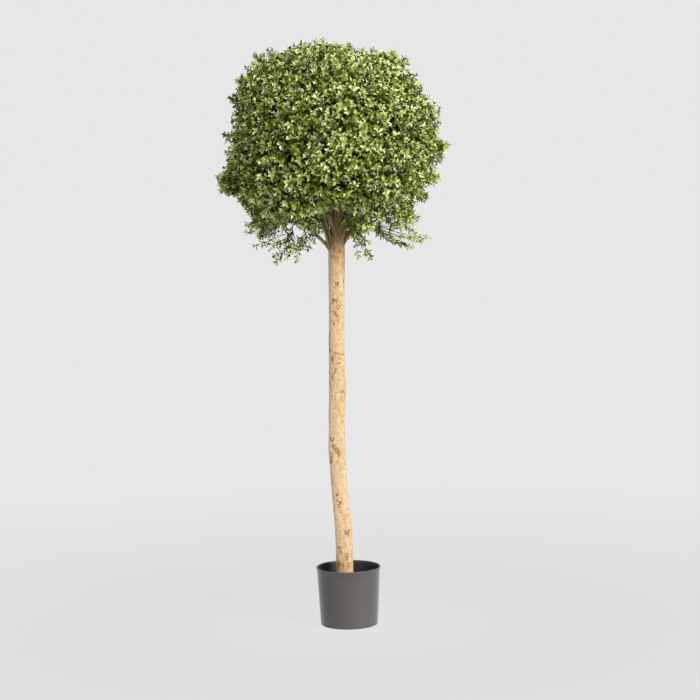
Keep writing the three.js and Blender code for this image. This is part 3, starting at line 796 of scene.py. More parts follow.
def stem_rows(low, high, azimuth):
    """Heights, centres and smoothed radii of the pole's rings of corners."""
    coarse_z = np.linspace(low + TRUNK["end"], high - TRUNK["end"], TRUNK["slices"])
    coarse_a = around(TRUNK["rays"])
    centres, reach = trunk_shape(coarse_z, coarse_a)
    reach = blur(blur(reach, TRUNK["blur"], 1, True), TRUNK["blur"], 0, False)
    centres = blur(centres, TRUNK["centre_blur"], 0, False)
    z = np.linspace(low, high, int((high - low) / TRUNK["step"]))

    def at_rows(values):
        return np.stack([np.interp(z, coarse_z, column) for column in values.T], -1)

    wrapped_a = np.append(coarse_a, TURN)
    wrapped = at_rows(np.hstack([reach, reach[:, :1]]))
    return z, at_rows(centres), np.stack([np.interp(azimuth, wrapped_a, row) for row in wrapped])


def flutes(azimuth, z_mm):
    """Long shallow flutes and fine grain ridges that run up the wood."""
    draw = np.random.default_rng(FLUTE_SEED)
    height_mm = 0.0
    for count, height, climb in FLUTES:
        phase = draw.uniform(*PHASES)
        along = z_mm / 1000 * climb
        drift = 0.8 * np.sin(along * 2 + phase) + 0.5 * np.sin(along * 5)
        height_mm = height_mm + height * np.sin(azimuth * count + drift + phase)
    return height_mm


def wood_tones(azimuth, z_mm):
    """How reddish the wood is, with painted shade in the same layer, and how much painted light it gets:
    reddish near the fork, at the foot and in cloudy patches; painted shade for the crown's shadow on the
    pole's top and along its left edge, with some browner tone in both; painted light over its left half.
    """
    def rising(z, share, low, high):
        return share * smooth_step(z, low, high)

    def fading(z, share, low, high):
        return share * (1 - smooth_step(z, low, high))

    def facing(turn, low, high, side=1):
        return smooth_step(side * np.sin(azimuth + turn), low, high)

    cloud = (np.sin(z_mm * 0.021 + 1.0 + 1.4 * np.sin(azimuth * 2)) + np.sin(z_mm * 0.047 + azimuth * 3)
             + np.sin(z_mm * 0.11 + azimuth * 5 + 2.0)) / 3
    ragged = z_mm + (12 * np.sin(azimuth * 7 + 1.0 + z_mm * 0.02) + 9 * np.sin(azimuth * 13))
    # cloudy reddish patches; up the pole's top, partly painted shade for the crown's shadow and partly its
    # orange-brown
    ruddy_and_shade = rising(cloud, *RUDDY_AND_SHADE["cloud"]) + rising(z_mm, *RUDDY_AND_SHADE["upper"])
    ruddy_and_shade = ruddy_and_shade + rising(ragged, *RUDDY_AND_SHADE["fork"]) + rising(ragged, *RUDDY_AND_SHADE["top"])
    # painted shade along the pole's left edge as seen from the front, partly a browner tone of the wood
    ruddy_and_shade = ruddy_and_shade + facing(*FACING["left"], -1) * (RUDDY_AND_SHADE["left"] + rising(z_mm, *RUDDY_AND_SHADE["upper_left"]))
    ruddy_and_shade = ruddy_and_shade + fading(z_mm, *RUDDY_AND_SHADE["foot_side"]) * facing(*FACING["foot"])
    ruddy_and_shade = ruddy_and_shade + fading(z_mm, *RUDDY_AND_SHADE["foot"]) - rising(z_mm, *RUDDY_AND_SHADE["less"])
    # painted light over the left half
    painted_light = PAINTED_LIGHT * facing(*FACING["painted_light"], -1)
    return np.clip(ruddy_and_shade, 0, 1), np.broadcast_to(painted_light, z_mm.shape)


def make_trunk():
    low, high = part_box("trunk")
    azimuth = around(TRUNK["segments"])
    z, centre, radius = stem_rows(low.z, high.z, azimuth)
    arc_mm = np.broadcast_to(azimuth * TRUNK["radius_mm"], radius.shape)
    z_mm = np.broadcast_to(z[:, None] * 1000, radius.shape)
    relief, bark = paint_marks(arc_mm, z_mm, TRUNK["radius_mm"])
    lumps = sum(height * np.sin(z_mm * climb + azimuth * count + phase)
                for height, climb, count, phase in LUMPS)
    skin = radius + (relief + flutes(azimuth, z_mm) + LUMP_SHARE * lumps - SKIN_INSET) * MM
    out = np.stack([np.sin(azimuth), -np.cos(azimuth)], -1)
    flat = centre[:, None] + skin[..., None] * out
    rings = np.concatenate([flat, np.broadcast_to(z[:, None, None], (*radius.shape, 1))], -1)
    verts, tris = closed_tube(rings, [(*centre[0], z[0]), (*centre[-1], z[-1])])
    piece = add_mesh("pole", verts, tris, smooth=True)
    ruddy_and_shade, painted_light = wood_tones(azimuth, z_mm)
    layers = dict(bark=bark * (1 - smooth_step(z_mm, *BARE)), ruddy_and_shade=ruddy_and_shade, painted_light=painted_light)
    for name, values in layers.items():
        layer = piece.data.attributes.new(name, "FLOAT", "POINT")
        layer.data.foreach_set("value", np.append(values.ravel(), [0, 0]).astype(np.float32))
    finish_piece(piece, ["trunk"], [pole_material()])
    return z, centre


def stem_middle(trunk, z):
    """The middle of the stem at a height."""
    heights, centres = trunk
    return np.array([*(np.interp(z, heights, column) for column in centres.T), z])


# ---------------- limbs

def limb_line(name, slices=9):
    """The centreline and radii of a CAD bough, from slices through it."""
    verts, tris = node_arrays(name)
    low = verts[verts[:, 2] < verts[:, 2].min() + LIMB_ENDS["foot"] * np.ptp(verts[:, 2])].mean(0)
    far = verts[np.argsort(-np.linalg.norm(verts - low, axis=1))[:LIMB_ENDS["corners"]]].mean(0)
    way = unit(far - low)
    length = np.linalg.norm(far - low)
    height = (verts - low) @ way
    edges = np.concatenate([tris[:, [0, 1]], tris[:, [1, 2]], tris[:, [2, 0]]])
    line, size = [], []
    for share in np.linspace(*LIMB_ENDS["shares"], slices):
        a, b = (height[edges[:, i]] - share * length for i in (0, 1))
        crossing = (a * b) < 0
        t = (a / (a - b))[crossing][:, None]
        points = verts[edges[crossing, 0]] * (1 - t) + verts[edges[crossing, 1]] * t
        middle = 0.5 * (points.max(0) + points.min(0))
        line.append(middle)
        size.append(points - middle)
    line = np.array(line)
    radii = []
    for off, t in zip(size, unit(np.gradient(line, axis=0))):
        across = off - np.outer(off @ t, t)
        radii.append(np.linalg.norm(across, axis=1).mean())
    return line, np.array(radii)


def bough_path(name, trunk):
    """The centreline and radii of a bough that starts inside the stem's skin."""
    line, radii = limb_line(name)
    outer, inner = LIMB_ROOT["shares"]
    axis = stem_middle(trunk, line[0, 2] - LIMB_ROOT["look"])[:2]
    root = np.array([*(outer * line[0, :2] + inner * axis), line[0, 2] - LIMB_ROOT["drop"]])
    if name == "bough_top":
        root = line[0] - (0, 0, LIMB_ROOT["top_drop"])
    return np.vstack([root, line]), np.append(radii[0] * LIMB_ROOT["swell"], radii)


def fan_stem(middle, trunk):
    """The points and radii of a thin stem that runs up the pole's top and out into a mass."""
    centre = stem_middle(trunk, rng.uniform(*FAN["heights"]))
    azimuth = math.atan2(middle[0] - centre[0], centre[1] - middle[1])
    azimuth += rng.normal(0, FAN["spread"])
    out = np.array([math.sin(azimuth), -math.cos(azimuth), 0.0])
    start = centre + out * FAN["root"]
    end = start + FAN["reach"] * (middle - start)
    rise = rng.uniform(*FAN["rise"])
    knee = start + out * rng.uniform(*FAN["knee"]) + (0, 0, rise)
    along, lift = FAN["bend"]
    bend = knee + along * (end - knee) + (0, 0, lift * rise)
    return np.array([start, knee, bend, end]), rng.uniform(*FAN["radius"]) * np.array(FAN["taper"])


def short_limb(first_radius, last_radius, *points):
    """The points and radii of a stem that is given in millimetres."""
    return np.array(points) * MM, np.linspace(first_radius, last_radius, 4) * MM


def rough_tube(line, radii, points, sides, bump, knot):
    """Corners and quads of one stem, with bumps and knots along it."""
    path = spline(line, points)
    r = np.interp(np.linspace(0, 1, points), np.linspace(0, 1, len(radii)), radii)
    verts, quads = tubes(path[None], r[None], sides)
    middle = path[:, None]
    bumps = rng.normal(0, bump, (points, sides))
    bumps = blur(blur(bumps, 1.2, 1, True), 1.5, 0, False)
    clear = KNOTS["clear"]
    far = (np.arange(points)[:, None] - rng.uniform(clear, points - clear, KNOTS["count"])) / KNOTS["width"]
    knots = knot * (KNOTS["size"] * np.exp(-(far ** 2)).sum(1))
    swell = 1 + KNOTS["bumps"] * bumps + knots[:, None]
    verts = middle + (verts.reshape(points, sides, 3) - middle) * swell[..., None]
    return verts.reshape(-1, 3), quads


def nodes_called(prefix):
    return sorted(name for name in frame["nodes"] if name.startswith(prefix))


def make_limbs(trunk):
    """The boughs, from inside the stem's skin to where they enter their masses."""
    slots = {part["node"]: part["material_slot"] for part in frame["record"]["subparts"]}
    boughs = {slot: [] for slot in LIMB_LOOKS}
    lines = {slot: [] for slot in LIMB_LOOKS}
    tips = {}
    for name in nodes_called("bough_"):
        line, radii = bough_path(name, trunk)
        boughs[slots[name]].append(name)
        lines[slots[name]].append((line, radii))
        tips[name[len("bough_"):]] = (line[-1], unit(line[-1] - line[-2]), radii[-1])
    for name in nodes_called("foliage_"):
        low, high = (np.array(corner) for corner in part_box(name))
        lines["plastic_stem"] += [fan_stem(0.5 * (low + high), trunk) for _ in range(FAN["stems"])]
    lines["plastic_stem"] += [short_limb(*stem) for stem in FRONT_STEMS]
    lines["limb_wood"].append(short_limb(*SIDE_ROOT))
    materials = dict(limb_wood=limb_material, plastic_stem=stem_material)
    for slot, (name, *looks) in LIMB_LOOKS.items():
        verts, quads = join([rough_tube(*line, *looks) for line in lines[slot]])
        piece = add_mesh(name, verts, quads, smooth=True)
        finish_piece(piece, boughs[slot], [materials[slot]()])
    return tips


# ---------------- foliage

def hem(points):
    """The height under which the foliage is loose, at some points."""
    off = np.asarray(points)[..., :2] - FORK[:2]
    reach = np.linalg.norm(off, axis=-1)
    to_right = 0.5 + 0.5 * off[..., 0] / reach
    outer = HEM["left"] + to_right * (HEM["right"] - HEM["left"])
    return HEM["inner"] + (outer - HEM["inner"]) * smooth_step(reach, *HEM["between"])


def even_directions(count):
    """Directions spread evenly over a sphere."""
    k = np.arange(count) + 0.5
    z = 1 - 2 * k / count
    turn = np.pi * (1 + math.sqrt(5)) * k
    flat = np.sqrt(1 - z * z)
    return np.stack([flat * np.cos(turn), flat * np.sin(turn), z], -1)


def ball_outline(tree, owner_of_face):
    """How far the foliage reaches from the ball's middle, and the mass met, in many directions.

    The seams between masses are bridged: a ring of neighbours widens the reach and another
    narrows it again.
    """
    centre = Vector(BALL["centre"])
    met = []
    for way in even_directions(OUTLINE["rays"]):
        d = Vector(way)
        place, _, face, _ = tree.ray_cast(centre + d * BALL["beyond"], -d)
        if place is not None and place.z > hem(place) and (place - centre).length > BALL["least"]:
            met.append((way, (place - centre).length, owner_of_face[face]))
    way, reach, owner = (np.array(values) for values in zip(*met))
    near = KDTree(len(way))
    for i, d in enumerate(way):
        near.insert(d, i)
    near.balance()
    ring, blend = ([[j for _, j, _ in near.find_range(d, OUTLINE[key])] for d in way]
                   for key in ("bridge", "blend"))
    wide = np.array([reach[j].max() for j in ring])
    bridged = np.array([wide[j].min() for j in ring])
    return near, np.array([bridged[j].mean() for j in blend]), owner


def ball_points(outline, count):
    """Random directions from the ball's middle, with the reach of the foliage and its mass."""
    near, reach, owner = outline
    way = unit(rng.normal(size=(count, 3)))
    found = [near.find(d) for d in way]
    close = np.array([gap < OUTLINE["close"] for _, _, gap in found])
    index = np.array([i for _, i, _ in found])[close]
    return way[close], reach[index], owner[index]


def tuft_points(name, tree):
    """Random points on the open skin of the tufts that hang under the ball, with normals."""
    verts, tris = node_arrays(name)
    a, b, c = (verts[tris[:, i]] for i in range(3))
    cross = np.cross(b - a, c - a)
    area = np.linalg.norm(cross, axis=1) / 2
    count = int(area.sum() * TUFTS["density"])
    pick = rng.choice(len(tris), count, p=area / area.sum())
    u, v = rng.random(count), rng.random(count)
    flip = u + v > 1
    u[flip], v[flip] = 1 - u[flip], 1 - v[flip]
    points = a[pick] + u[:, None] * (b - a)[pick] + v[:, None] * (c - a)[pick]
    normals = unit(cross[pick])
    outward = np.sum(unit(points[:, :2] - FORK[:2]) * normals[:, :2], axis=1)
    inner = (points[:, 2] < FORK[2] - TUFTS["under_fork"]) & (outward < TUFTS["inward"])
    keep = []
    for i in np.nonzero((points[:, 2] < hem(points)) & ~inner)[0]:
        lifted = Vector(points[i] + normals[i] * MM)
        if tree.ray_cast(lifted, Vector(normals[i]), TUFTS["open"])[0] is None:
            keep.append(i)
    return points[keep], normals[keep]


def thin_out(points, spacing):
    """Indices of points, taken in order, that keep a distance from each other."""
    cells = {}
    kept = []
    keys = np.floor(points / spacing.max()).astype(int)
    near = [(x, y, z) for x in (-1, 0, 1) for y in (-1, 0, 1) for z in (-1, 0, 1)]
    for i, (x, y, z) in enumerate(keys):
        others = [q for dx, dy, dz in near for q in cells.get((x + dx, y + dy, z + dz), ())]
        if others:
            gap = points[others] - points[i]
            if np.einsum("ij,ij->i", gap, gap).min() < spacing[i] ** 2:
                continue
        kept.append(i)
        cells.setdefault((x, y, z), []).append(i)
    return np.array(kept)


def wobble(points, size, count=14):
    """A smooth random field over space, mostly within -1 and 1, with bumps about size apart."""
    waves = unit(rng.normal(size=(count, 3))) * rng.uniform(0.7, 1.5, (count, 1)) * 2 * np.pi / size
    phase = rng.uniform(0, 2 * np.pi, count)
    return np.sin(points @ waves.T + phase).sum(1) / math.sqrt(count)


def cluster(points, size, rounds=8):
    """Splits points into groups of near ones, about size points in each."""
    count = max(1, round(len(points) / size))
    seeds = [0]
    gap = np.linalg.norm(points - points[0], axis=1)
    for _ in range(count - 1):
        seeds.append(int(np.argmax(gap)))
        gap = np.minimum(gap, np.linalg.norm(points - points[seeds[-1]], axis=1))
    centres = points[seeds]
    for _ in range(rounds):
        group = np.argmin(np.linalg.norm(points[:, None] - centres[None], axis=2), axis=1)
        centres = np.array([points[group == g].mean(0) if (group == g).any() else centres[g]
                            for g in range(count)])
    return [np.nonzero(group == g)[0] for g in range(count) if (group == g).any()]


# A leaf's corners: along and across in shares of its length and half width, and up in
# shares of its cup. The full leaf is two halves that meet at the midrib but share no
# corners, so that the fold stays sharp. The other leaf is folded once.
HALF_LEAF = np.array([(0.00, 0.00, 0.0), (0.22, 0.66, 0.8), (0.56, 1.00, 1.0), (1.00, 0.00, -0.2),
                      (0.50, 0.00, 0.0)])
FULL_LEAF = np.vstack([HALF_LEAF, HALF_LEAF * (1, -1, 1)])
FULL_FACES = np.array([(4, 0, 1), (4, 1, 2), (4, 2, 3), (9, 6, 5), (9, 7, 6), (9, 8, 7)])
PLAIN_LEAF = np.array([(0.0, 0.0, 0.0), (0.5, 0.9, 1.0), (1.0, 0.0, 0.0), (0.5, -0.9, 1.0)])
PLAIN_FACES = np.array([(1, 2, 0), (2, 3, 0)])


def leaf_mesh(place, along, up, length, width, full):
    """Corners and triangles of many leaves."""
    across = np.cross(up, along)
    shape, faces = (FULL_LEAF, FULL_FACES) if full else (PLAIN_LEAF, PLAIN_FACES)
    half = width / 2 * rng.uniform(*LEAF_SPREADS["width"], len(place))
    cup = LEAF["cup"] * rng.uniform(*LEAF_SPREADS["cup"], len(place))
    droop = LEAF["droop"] * rng.uniform(*LEAF_SPREADS["droop"], len(place))
    x = shape[:, 0] * length[:, None]
    y = shape[:, 1] * (half * length)[:, None]
    z = shape[:, 2] * (cup * length)[:, None] - shape[:, 0] ** 2 * (droop * length)[:, None]
    verts = (place[:, None] + x[..., None] * along[:, None] + y[..., None] * across[:, None]
             + z[..., None] * up[:, None])
    faces = faces[None] + (np.arange(len(place)) * len(shape))[:, None, None]
    return verts.reshape(-1, 3), faces.reshape(-1, 3)


def in_gap(points):
    """Whether points lie in one of the gaps in the foliage, which run back from the viewer."""
    eye = np.array(CAMERA["place"])
    flat = eye + (points - eye) * (eye[1] / (eye[1] - points[..., 1]))[..., None]
    inside = np.zeros(flat.shape[:-1], bool)
    for x, z, half_width, half_height in np.array(GAPS) * MM:
        across = (flat[..., 0] - x) / (half_width + GAP_MARGIN)
        up = (flat[..., 2] - z) / (half_height + GAP_MARGIN)
        inside |= across ** 2 + up ** 2 < 1
    return inside


def pair_colors(shoots):
    """Which material each leaf pair of some shoots has."""
    table = np.array([[LEAF_NAMES.index(c) for c in family] for family in FAMILIES])
    zone = np.where(shoots["loose"][:, None], np.minimum(PAIR_ZONE, 1), PAIR_ZONE)
    return np.take_along_axis(table[shoots["family"]], zone, axis=1)


def leaf_frames(axis, side, other, turn):
    """For leaves set round their shoots: the ways out from the shoot, along the leaf and up from it."""
    angle = turn[..., None]
    radial = side * np.cos(angle) + other * np.sin(angle)
    lean = (PAIR_ANGLE + rng.normal(0, LEAF_SPREADS["angle"], turn.shape))[..., None]
    along = axis * np.cos(lean) + radial * np.sin(lean)
    up = axis * np.sin(lean) - radial * np.cos(lean)
    roll = rng.normal(0, LEAF_SPREADS["roll"], angle.shape)
    return radial, along, up * np.cos(roll) + np.cross(along, up) * np.sin(roll)


def dress(shoots, full):
    """Leaves in opposite pairs along each shoot, with a rosette at its tip."""
    shape = len(shoots["tip"]), len(PAIR_AT)
    each = shape[0], 1
    loose = shoots["loose"][:, None]
    p0, p1, p2 = (shoots[k][:, None] for k in ("fork", "bend", "tip"))
    length = np.linalg.norm(p2 - p1, axis=2) + CURVED * np.linalg.norm(p1 - p0, axis=2)
    at = PAIR_AT * rng.uniform(*LEAF_SPREADS["gap"], each)
    present = at < LEAFY * length
    present[:, FULL_PAIRS:] &= rng.random(present[:, FULL_PAIRS:].shape) < np.where(loose, *PAIR_CHANCE)
    present[:, SHORT_PAIRS:] &= loose
    t = np.clip(1 - at / length, *LEAF_SPAN)[..., None]
    place = bezier(p0, p1, p2, t)
    present &= ~in_gap(place)
    axis = unit((1 - t) * (p1 - p0) + t * (p2 - p1))
    spin = rng.uniform(0, TURN, each) + np.arange(shape[1]) * (np.pi / 2)
    spin = spin + rng.normal(0, LEAF_SPREADS["spin"], shape)
    side = unit(np.cross(axis, rng.normal(size=(*each, 3))))
    other = np.cross(axis, side)
    color = pair_colors(shoots)
    width = np.where(loose, LEAF["loose_width"], LEAF["width"]).repeat(shape[1], 1)
    parts = []
    for half_turn in (0.0, np.pi):
        radial, along, up = leaf_frames(axis, side, other, spin + half_turn)
        odd = rng.random(shape) < LEAF["odd"]
        color_here = np.where(odd, rng.permutation(color.ravel()).reshape(shape), color)
        size = LEAF["length"] * PAIR_SIZE * shoots["scale"][:, None]
        size = size * rng.uniform(*LEAF_SPREADS["length"], shape)
        start = place + radial * LEAF["stand_off"] * MM
        parts.append([x[present] for x in (start, along, up, size, width, color_here)])
    *leaves, color = (np.concatenate(x) for x in zip(*parts))
    verts, faces = leaf_mesh(*leaves, full)
    return verts, faces, np.repeat(color, len(faces) // len(color))


def tip_group(tip, way, owner, spacing, loose=False, deep=False):
    """Tips of one kind: places, ways of growing, masses, distances to keep and what they are."""
    count = len(tip)
    return dict(tip=tip, way=way, owner=np.array(owner), spacing=np.broadcast_to(spacing, count),
                loose=np.full(count, loose), deep=np.full(count, deep))


def pick(group, which):
    return {key: values[which] for key, values in group.items()}


def merge(groups):
    return {key: np.concatenate([group[key] for group in groups]) for key in groups[0]}


def ball_tips(outline):
    """Tips just under the ball's outline, where some stand out of it and others lie back."""
    way, reach, owner = ball_points(outline, SPRAY["tips"])
    proud = np.arange(len(way)) < len(way) // SPRAY["proud"]
    low, high = np.where(proud[:, None], SPRAY["proud_inset"], SPRAY["inset"]).T
    broad, fine = SPRAY["waves"]
    back = SPRAY["swell"] * np.abs(wobble(way, broad))
    back -= SPRAY["lump"] * np.clip(wobble(way, fine), *SPRAY["lump_limits"])
    skin = BALL["centre"] + way * reach[:, None]
    for x, z, depth, radius in np.array(DENTS) * MM:
        back += depth * np.exp(-((skin[:, 0] - x) ** 2 + (skin[:, 2] - z) ** 2) / radius ** 2)
    inset = low + (high - low) * rng.random(len(way)) + np.where(proud, SPRAY["proud_back"], 1.0) * back
    tip = BALL["centre"] + way * (reach - inset)[:, None]
    return tip_group(tip, way, owner, np.where(proud, SPRAY["proud_spacing"], SPRAY["spacing"]))


def tuft_tips(names, tree):
    """Tips of the loose shoots in the tufts under the ball, in random order."""
    found = [tuft_points(name, tree) for name in names]
    owner = np.repeat(np.arange(len(names)), [len(points) for points, _ in found])
    skin, normal = (np.vstack(arrays) for arrays in zip(*found))
    order = rng.permutation(len(skin))
    tip = (skin - normal * rng.uniform(*SPRAY["loose_inset"], (len(skin), 1)))[order]
    way = unit(unit(tip - FORK) + TUFTS["outward"] * normal[order])
    return tip_group(tip, way, owner[order], SPRAY["loose_spacing"], loose=True)


def rim_tips():
    """Tips and ways of the shoots in the sprays that stand out furthest."""
    tip = np.repeat(RIM, SPRAY["rim_shoots"], axis=0)
    way = unit(tip - BALL["centre"])
    tip = tip + rng.normal(0, SPRAY["rim_spread"], tip.shape)
    return tip - way * rng.uniform(*SPRAY["rim_inset"], (len(tip), 1)), way


def deep_tips(outline):
    """Tips inside the ball, which fill it."""
    way, reach, owner = ball_points(outline, FILL["tips"])
    skin = BALL["centre"] + way * reach[:, None]
    deep = skin[:, 2] > hem(skin) + FILL["above_hem"]
    way, reach, owner = way[deep], reach[deep], owner[deep]
    tip = BALL["centre"] + way * (reach - rng.uniform(*FILL["inset"], len(way)))[:, None]
    return tip_group(tip, way, owner, FILL["spacing"], deep=True)


def left_open(tips):
    """Whether loose tips are where nothing hangs. The tips at the head of the list are exempt."""
    x, _, z = tips["tip"].T
    low = [(x > x0 * MM) & (x < x1 * MM) & (z < height * MM) for x0, x1, height in OPEN]
    return np.any(low, axis=0) & tips["loose"] & (np.arange(len(x)) >= len(HANGING))


def place_tips(names):
    """The tips of all shoots: where they are, which way they grow and which mass they are in."""
    tree = tree_of(names)
    owner_of_face = np.repeat(np.arange(len(names)), [len(node_arrays(n)[1]) for n in names])

    def owners(points):
        return [owner_of_face[tree.find_nearest(Vector(point))[2]] for point in points]

    outline = ball_outline(tree, owner_of_face)
    ball = ball_tips(outline)
    tufts = tuft_tips(names, tree)
    rim, rim_way = rim_tips()
    hang_way = unit((HANGING - FORK) * HANG_LEAN)
    outer = merge([tip_group(HANGING, hang_way, owners(HANGING), 0.0, loose=True),
                   tip_group(rim, rim_way, owners(rim), 0.0), ball, tufts])
    kept = thin_out(outer["tip"], outer["spacing"])
    kept = kept[~(left_open(outer) | in_gap(outer["tip"]))[kept]]
    inner = deep_tips(outline)
    return merge([pick(outer, kept), pick(inner, thin_out(inner["tip"], inner["spacing"]))])


def make_foliage(limbs):
    names = nodes_called("foliage_")
    leaf_materials = [plain_material(f"leaf_{key}", *looks) for key, looks in LEAF_COLORS.items()]
    twig_materials = [plain_material(name, *looks) for name, looks in TWIG_COLORS.items()]
    tips = place_tips(names)
    for i, name in enumerate(names):
        grow_mass(name, pick(tips, tips["owner"] == i), limbs, leaf_materials, twig_materials)


def spray_looks(tip, loose):
    """A spray's family of colours, darker on the left as painted shade and paler low down as painted light,
    and whether its twigs are brown.
    """
    x, _, z = tip.mean(0)
    left_shade = smooth_step(-x, *LEFT_SHADE_FROM)
    low = 1 - smooth_step(z, *SPRAY["low"])
    shares = FAMILY_SHARES + left_shade * (LEFT_SHADE_SHARES - FAMILY_SHARES)
    # painted light: paler families under the ball, where its shade falls
    shares = shares + low * (LOW_PAINTED_LIGHT_SHARES - shares)
    family = rng.choice(len(FAMILIES), p=shares)
    bare, other = SPRAY["brown"]
    return family, rng.random() < (bare if loose.mean() > 0.5 and x < 0 else other)


def branch_out(tips, root, heading):
    """Shoots that end at some tips, and the boughs and branches that lead to them."""
    count = len(tips["tip"])
    loose, deep = tips["loose"], tips["deep"]
    stray = np.select([loose, ~deep], [SPRAY["loose_tilt"], SPRAY["tilt"]], FILL["tilt"])[:, None]
    way = unit(tips["way"] + stray * unit(rng.normal(size=(count, 3))) + (0, 0, SPRAY["lift"]))
    reach = np.where(loose, rng.uniform(*SPRAY["loose_reach"], count), rng.uniform(*SPRAY["reach"], count))
    tip = tips["tip"].copy()
    fork = np.zeros_like(tip)
    family = np.zeros(count, int)
    brown = np.zeros(count, bool)
    boughs, branches = [], []
    base = tip - way * reach[:, None]
    for limb in cluster(base, SPRAY["limbs"] * SPRAY["shoots"]):
        first = root + BOUGH["reach"] * (base[limb].mean(0) - root)
        boughs.append((root, root + BOUGH["straight"] * np.linalg.norm(first - root) * heading, first))
        for spray in cluster(base[limb], SPRAY["shoots"]):
            ids = limb[spray]
            pull = SPRAY["gather"] * (1 - loose[ids])[:, None]
            tip[ids] += pull * (tip[ids].mean(0) - tip[ids])
            second = first + BOUGH["branch_reach"] * (base[ids].mean(0) - first)
            middle = 0.5 * (first + second) + BOUGH["carry_on"] * (first - root)
            branches.append((first, middle, second))
            fork[ids] = second
            family[ids], brown[ids] = spray_looks(tip[ids], loose[ids])
    own = rng.random(count) < SPRAY["own_color"]
    family[own] = rng.choice(len(FAMILIES), own.sum(), p=FAMILY_SHARES)
    family[deep] = len(FAMILIES) - 1
    shoots = dict(fork=fork, bend=tip - way * reach[:, None], tip=tip, family=family, brown=brown, deep=deep,
                  loose=loose | (tip[:, 2] < SPRAY["low"][0]), scale=rng.uniform(*SPRAY["scale"], count))
    return shoots, boughs, branches


def twigs(kind, paths, brown, limit=1.0):
    """Corners, faces and materials of twigs along curves of three points each."""
    points, sides, thickest, thinnest = TWIGS[kind]
    curves = bezier(*(paths[:, i, None] for i in range(3)), np.linspace(0, 1, points)[:, None])
    width = np.linspace(min(thickest, limit), thinnest, points)
    verts, faces = tubes(curves, width[None], sides)
    return verts, faces, np.repeat(brown, len(faces) // len(paths))


def grow_mass(name, tips, limbs, leaf_materials, twig_materials):
    """Boughs, twigs and leaves of one mass, grown from the end of its limb."""
    key = name[len("foliage_"):]
    middle = tips["tip"].mean(0)
    root, heading, thick = limbs.get(key) or min(
        limbs.values(), key=lambda limb: np.linalg.norm(limb[0] - middle))
    shoots, *stems = branch_out(tips, root, heading)
    boughs, branches = (np.array(paths) for paths in stems)
    layers = [(pick(shoots, shoots["deep"] == deep), deep) for deep in (False, True)]
    layers = [(layer, deep) for layer, deep in layers if len(layer["tip"])]

    leaves = add_mesh(f"leaves_{key}", *join([dress(layer, not deep) for layer, deep in layers]), True)
    finish_piece(leaves, [name], leaf_materials)

    parts = [twigs("bough", boughs, np.zeros(len(boughs), bool), thick),
             twigs("branch", branches, np.zeros(len(branches), bool))]
    for layer, deep in layers:
        paths = np.stack([layer["fork"], layer["bend"], layer["tip"]], axis=1)
        parts.append(twigs("deep_shoot" if deep else "shoot", paths, layer["brown"]))
    piece = add_mesh(f"twigs_{key}", *join(parts), True)
    finish_piece(piece, [], twig_materials)


# ---------------- stage, lights, camera

def paper(name, base, glow):
    """A flat grey that also gives light of its own."""
    n = Nodes(name)
    n.set("Base Color", [base] * 3)
    n.set("Specular IOR Level", 0.0)
    n.set("Emission Color", [glow] * 3)
    return n


def floor_material():
    """As bright as asked for close to the piece, near it and far from it, whatever the lights give: brighter
    close by, painted light that lifts the pot's shadow, and dimmer in a ring round it, a painted pool of
    shade.
    """
    n = paper("floor_paper", STAGE["albedo"], 1.0)
    n.set("Roughness", 1.0)
    lit = STAGE["albedo"] * (STAGE["ambient"] + sum(
        strength * math.sin(math.radians(elevation)) / math.pi for _, _, elevation, _, strength in LIGHTS))
    distance = n.length(n.add("ShaderNodeTexCoord").outputs["Object"])
    fades = STAGE["fades"]
    # brighter close by, painted light over the pot's shadow, then dimmer in a ring, a painted pool of shade
    inner = n.span(distance, *fades[:2], STAGE["close"] - lit, STAGE["near"] - lit)
    outer = n.span(distance, *fades[2:], 0.0, STAGE["far"] - STAGE["near"])
    n.set("Emission Strength", n.math("ADD", inner, outer))
    return n.material


def make_floor():
    segments = STAGE["segments"]
    angle = around(segments)
    rim = np.stack([np.cos(angle), np.sin(angle), np.zeros(segments)], -1) * STAGE["radius"]
    k = np.arange(segments)
    tris = np.stack([np.full(segments, segments), k, (k + 1) % segments], -1)
    floor = add_mesh("floor", np.vstack([rim, [(0, 0, 0)]]), tris)
    floor.data.materials.append(floor_material())


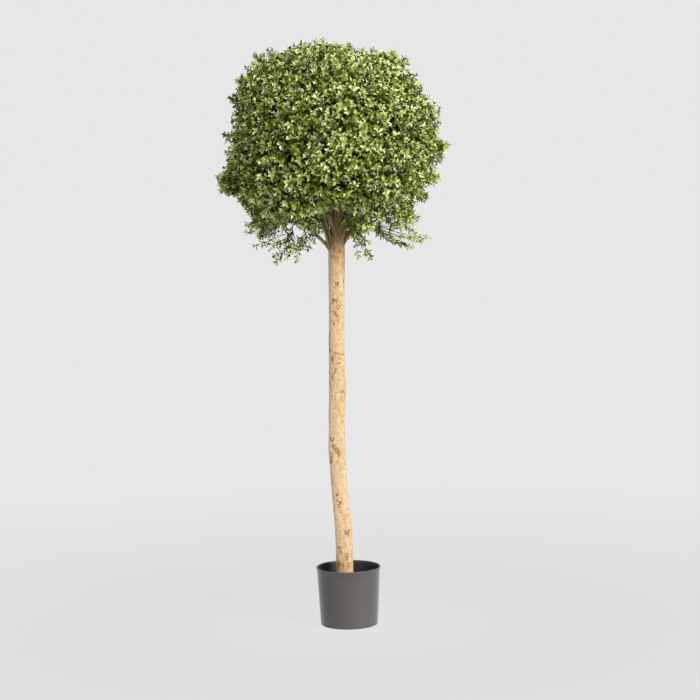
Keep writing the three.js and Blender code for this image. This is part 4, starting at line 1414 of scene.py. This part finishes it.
def make_dome():
    """A dome round the floor that only the camera sees, as bright as the floor far out."""
    angle = around(STAGE["segments"])
    rise = np.linspace(-STAGE["dip"], np.pi / 2 - STAGE["dip"], STAGE["rings"])[:, None]
    x, y = np.cos(rise) * np.cos(angle), np.cos(rise) * np.sin(angle)
    verts = np.stack(np.broadcast_arrays(x, y, np.sin(rise)), -1).reshape(-1, 3)
    quads = ring_quads(STAGE["rings"], STAGE["segments"])[:, [0, 3, 2, 1]]
    dome = add_mesh("dome", verts * STAGE["radius"] * STAGE["dome"], quads)
    n = paper("dome_paper", 0.0, STAGE["far"])
    n.set("Emission Strength", 1.0)
    dome.data.materials.append(n.material)
    dome.visible_diffuse = False
    dome.visible_glossy = False
    dome.visible_shadow = False


def make_lights():
    world = bpy.data.worlds.new("studio")
    bpy.context.scene.world = world
    world.use_nodes = True
    background = world.node_tree.nodes["Background"]
    background.inputs["Color"].default_value = (1.0, 1.0, 1.0, 1.0)
    background.inputs["Strength"].default_value = STAGE["ambient"]
    for name, azimuth, elevation, spread, strength in LIGHTS:
        light = bpy.data.lights.new(name, "SUN")
        light.angle = math.radians(spread)
        light.energy = strength
        lamp = bpy.data.objects.new(name, light)
        a, e = math.radians(azimuth), math.radians(elevation)
        way = Vector((math.sin(a) * math.cos(e), -math.cos(a) * math.cos(e), math.sin(e)))
        lamp.rotation_euler = way.to_track_quat("Z", "Y").to_euler()
        bpy.context.scene.collection.objects.link(lamp)


def make_camera():
    down, roll = math.radians(CAMERA["down"]), math.radians(CAMERA["roll"])
    forward = Vector((0, math.cos(down), -math.sin(down)))
    level_up = Vector((0, math.sin(down), math.cos(down)))
    level_right = Vector((1, 0, 0))
    right = level_right * math.cos(roll) - level_up * math.sin(roll)
    up = level_up * math.cos(roll) + level_right * math.sin(roll)
    data = bpy.data.cameras.new("camera")
    data.lens = CAMERA["lens"]
    data.sensor_width = CAMERA["sensor"]
    camera = bpy.data.objects.new("camera", data)
    camera.matrix_world = Matrix((
        (right.x, up.x, -forward.x, CAMERA["place"][0]),
        (right.y, up.y, -forward.y, CAMERA["place"][1]),
        (right.z, up.z, -forward.z, CAMERA["place"][2]),
        (0, 0, 0, 1),
    ))
    bpy.context.scene.collection.objects.link(camera)
    bpy.context.scene.camera = camera


bpy.context.scene.view_settings.view_transform = "Standard"
make_camera()
make_floor()
make_dome()
make_lights()
make_pot()
make_filling()
make_foliage(make_limbs(make_trunk()))
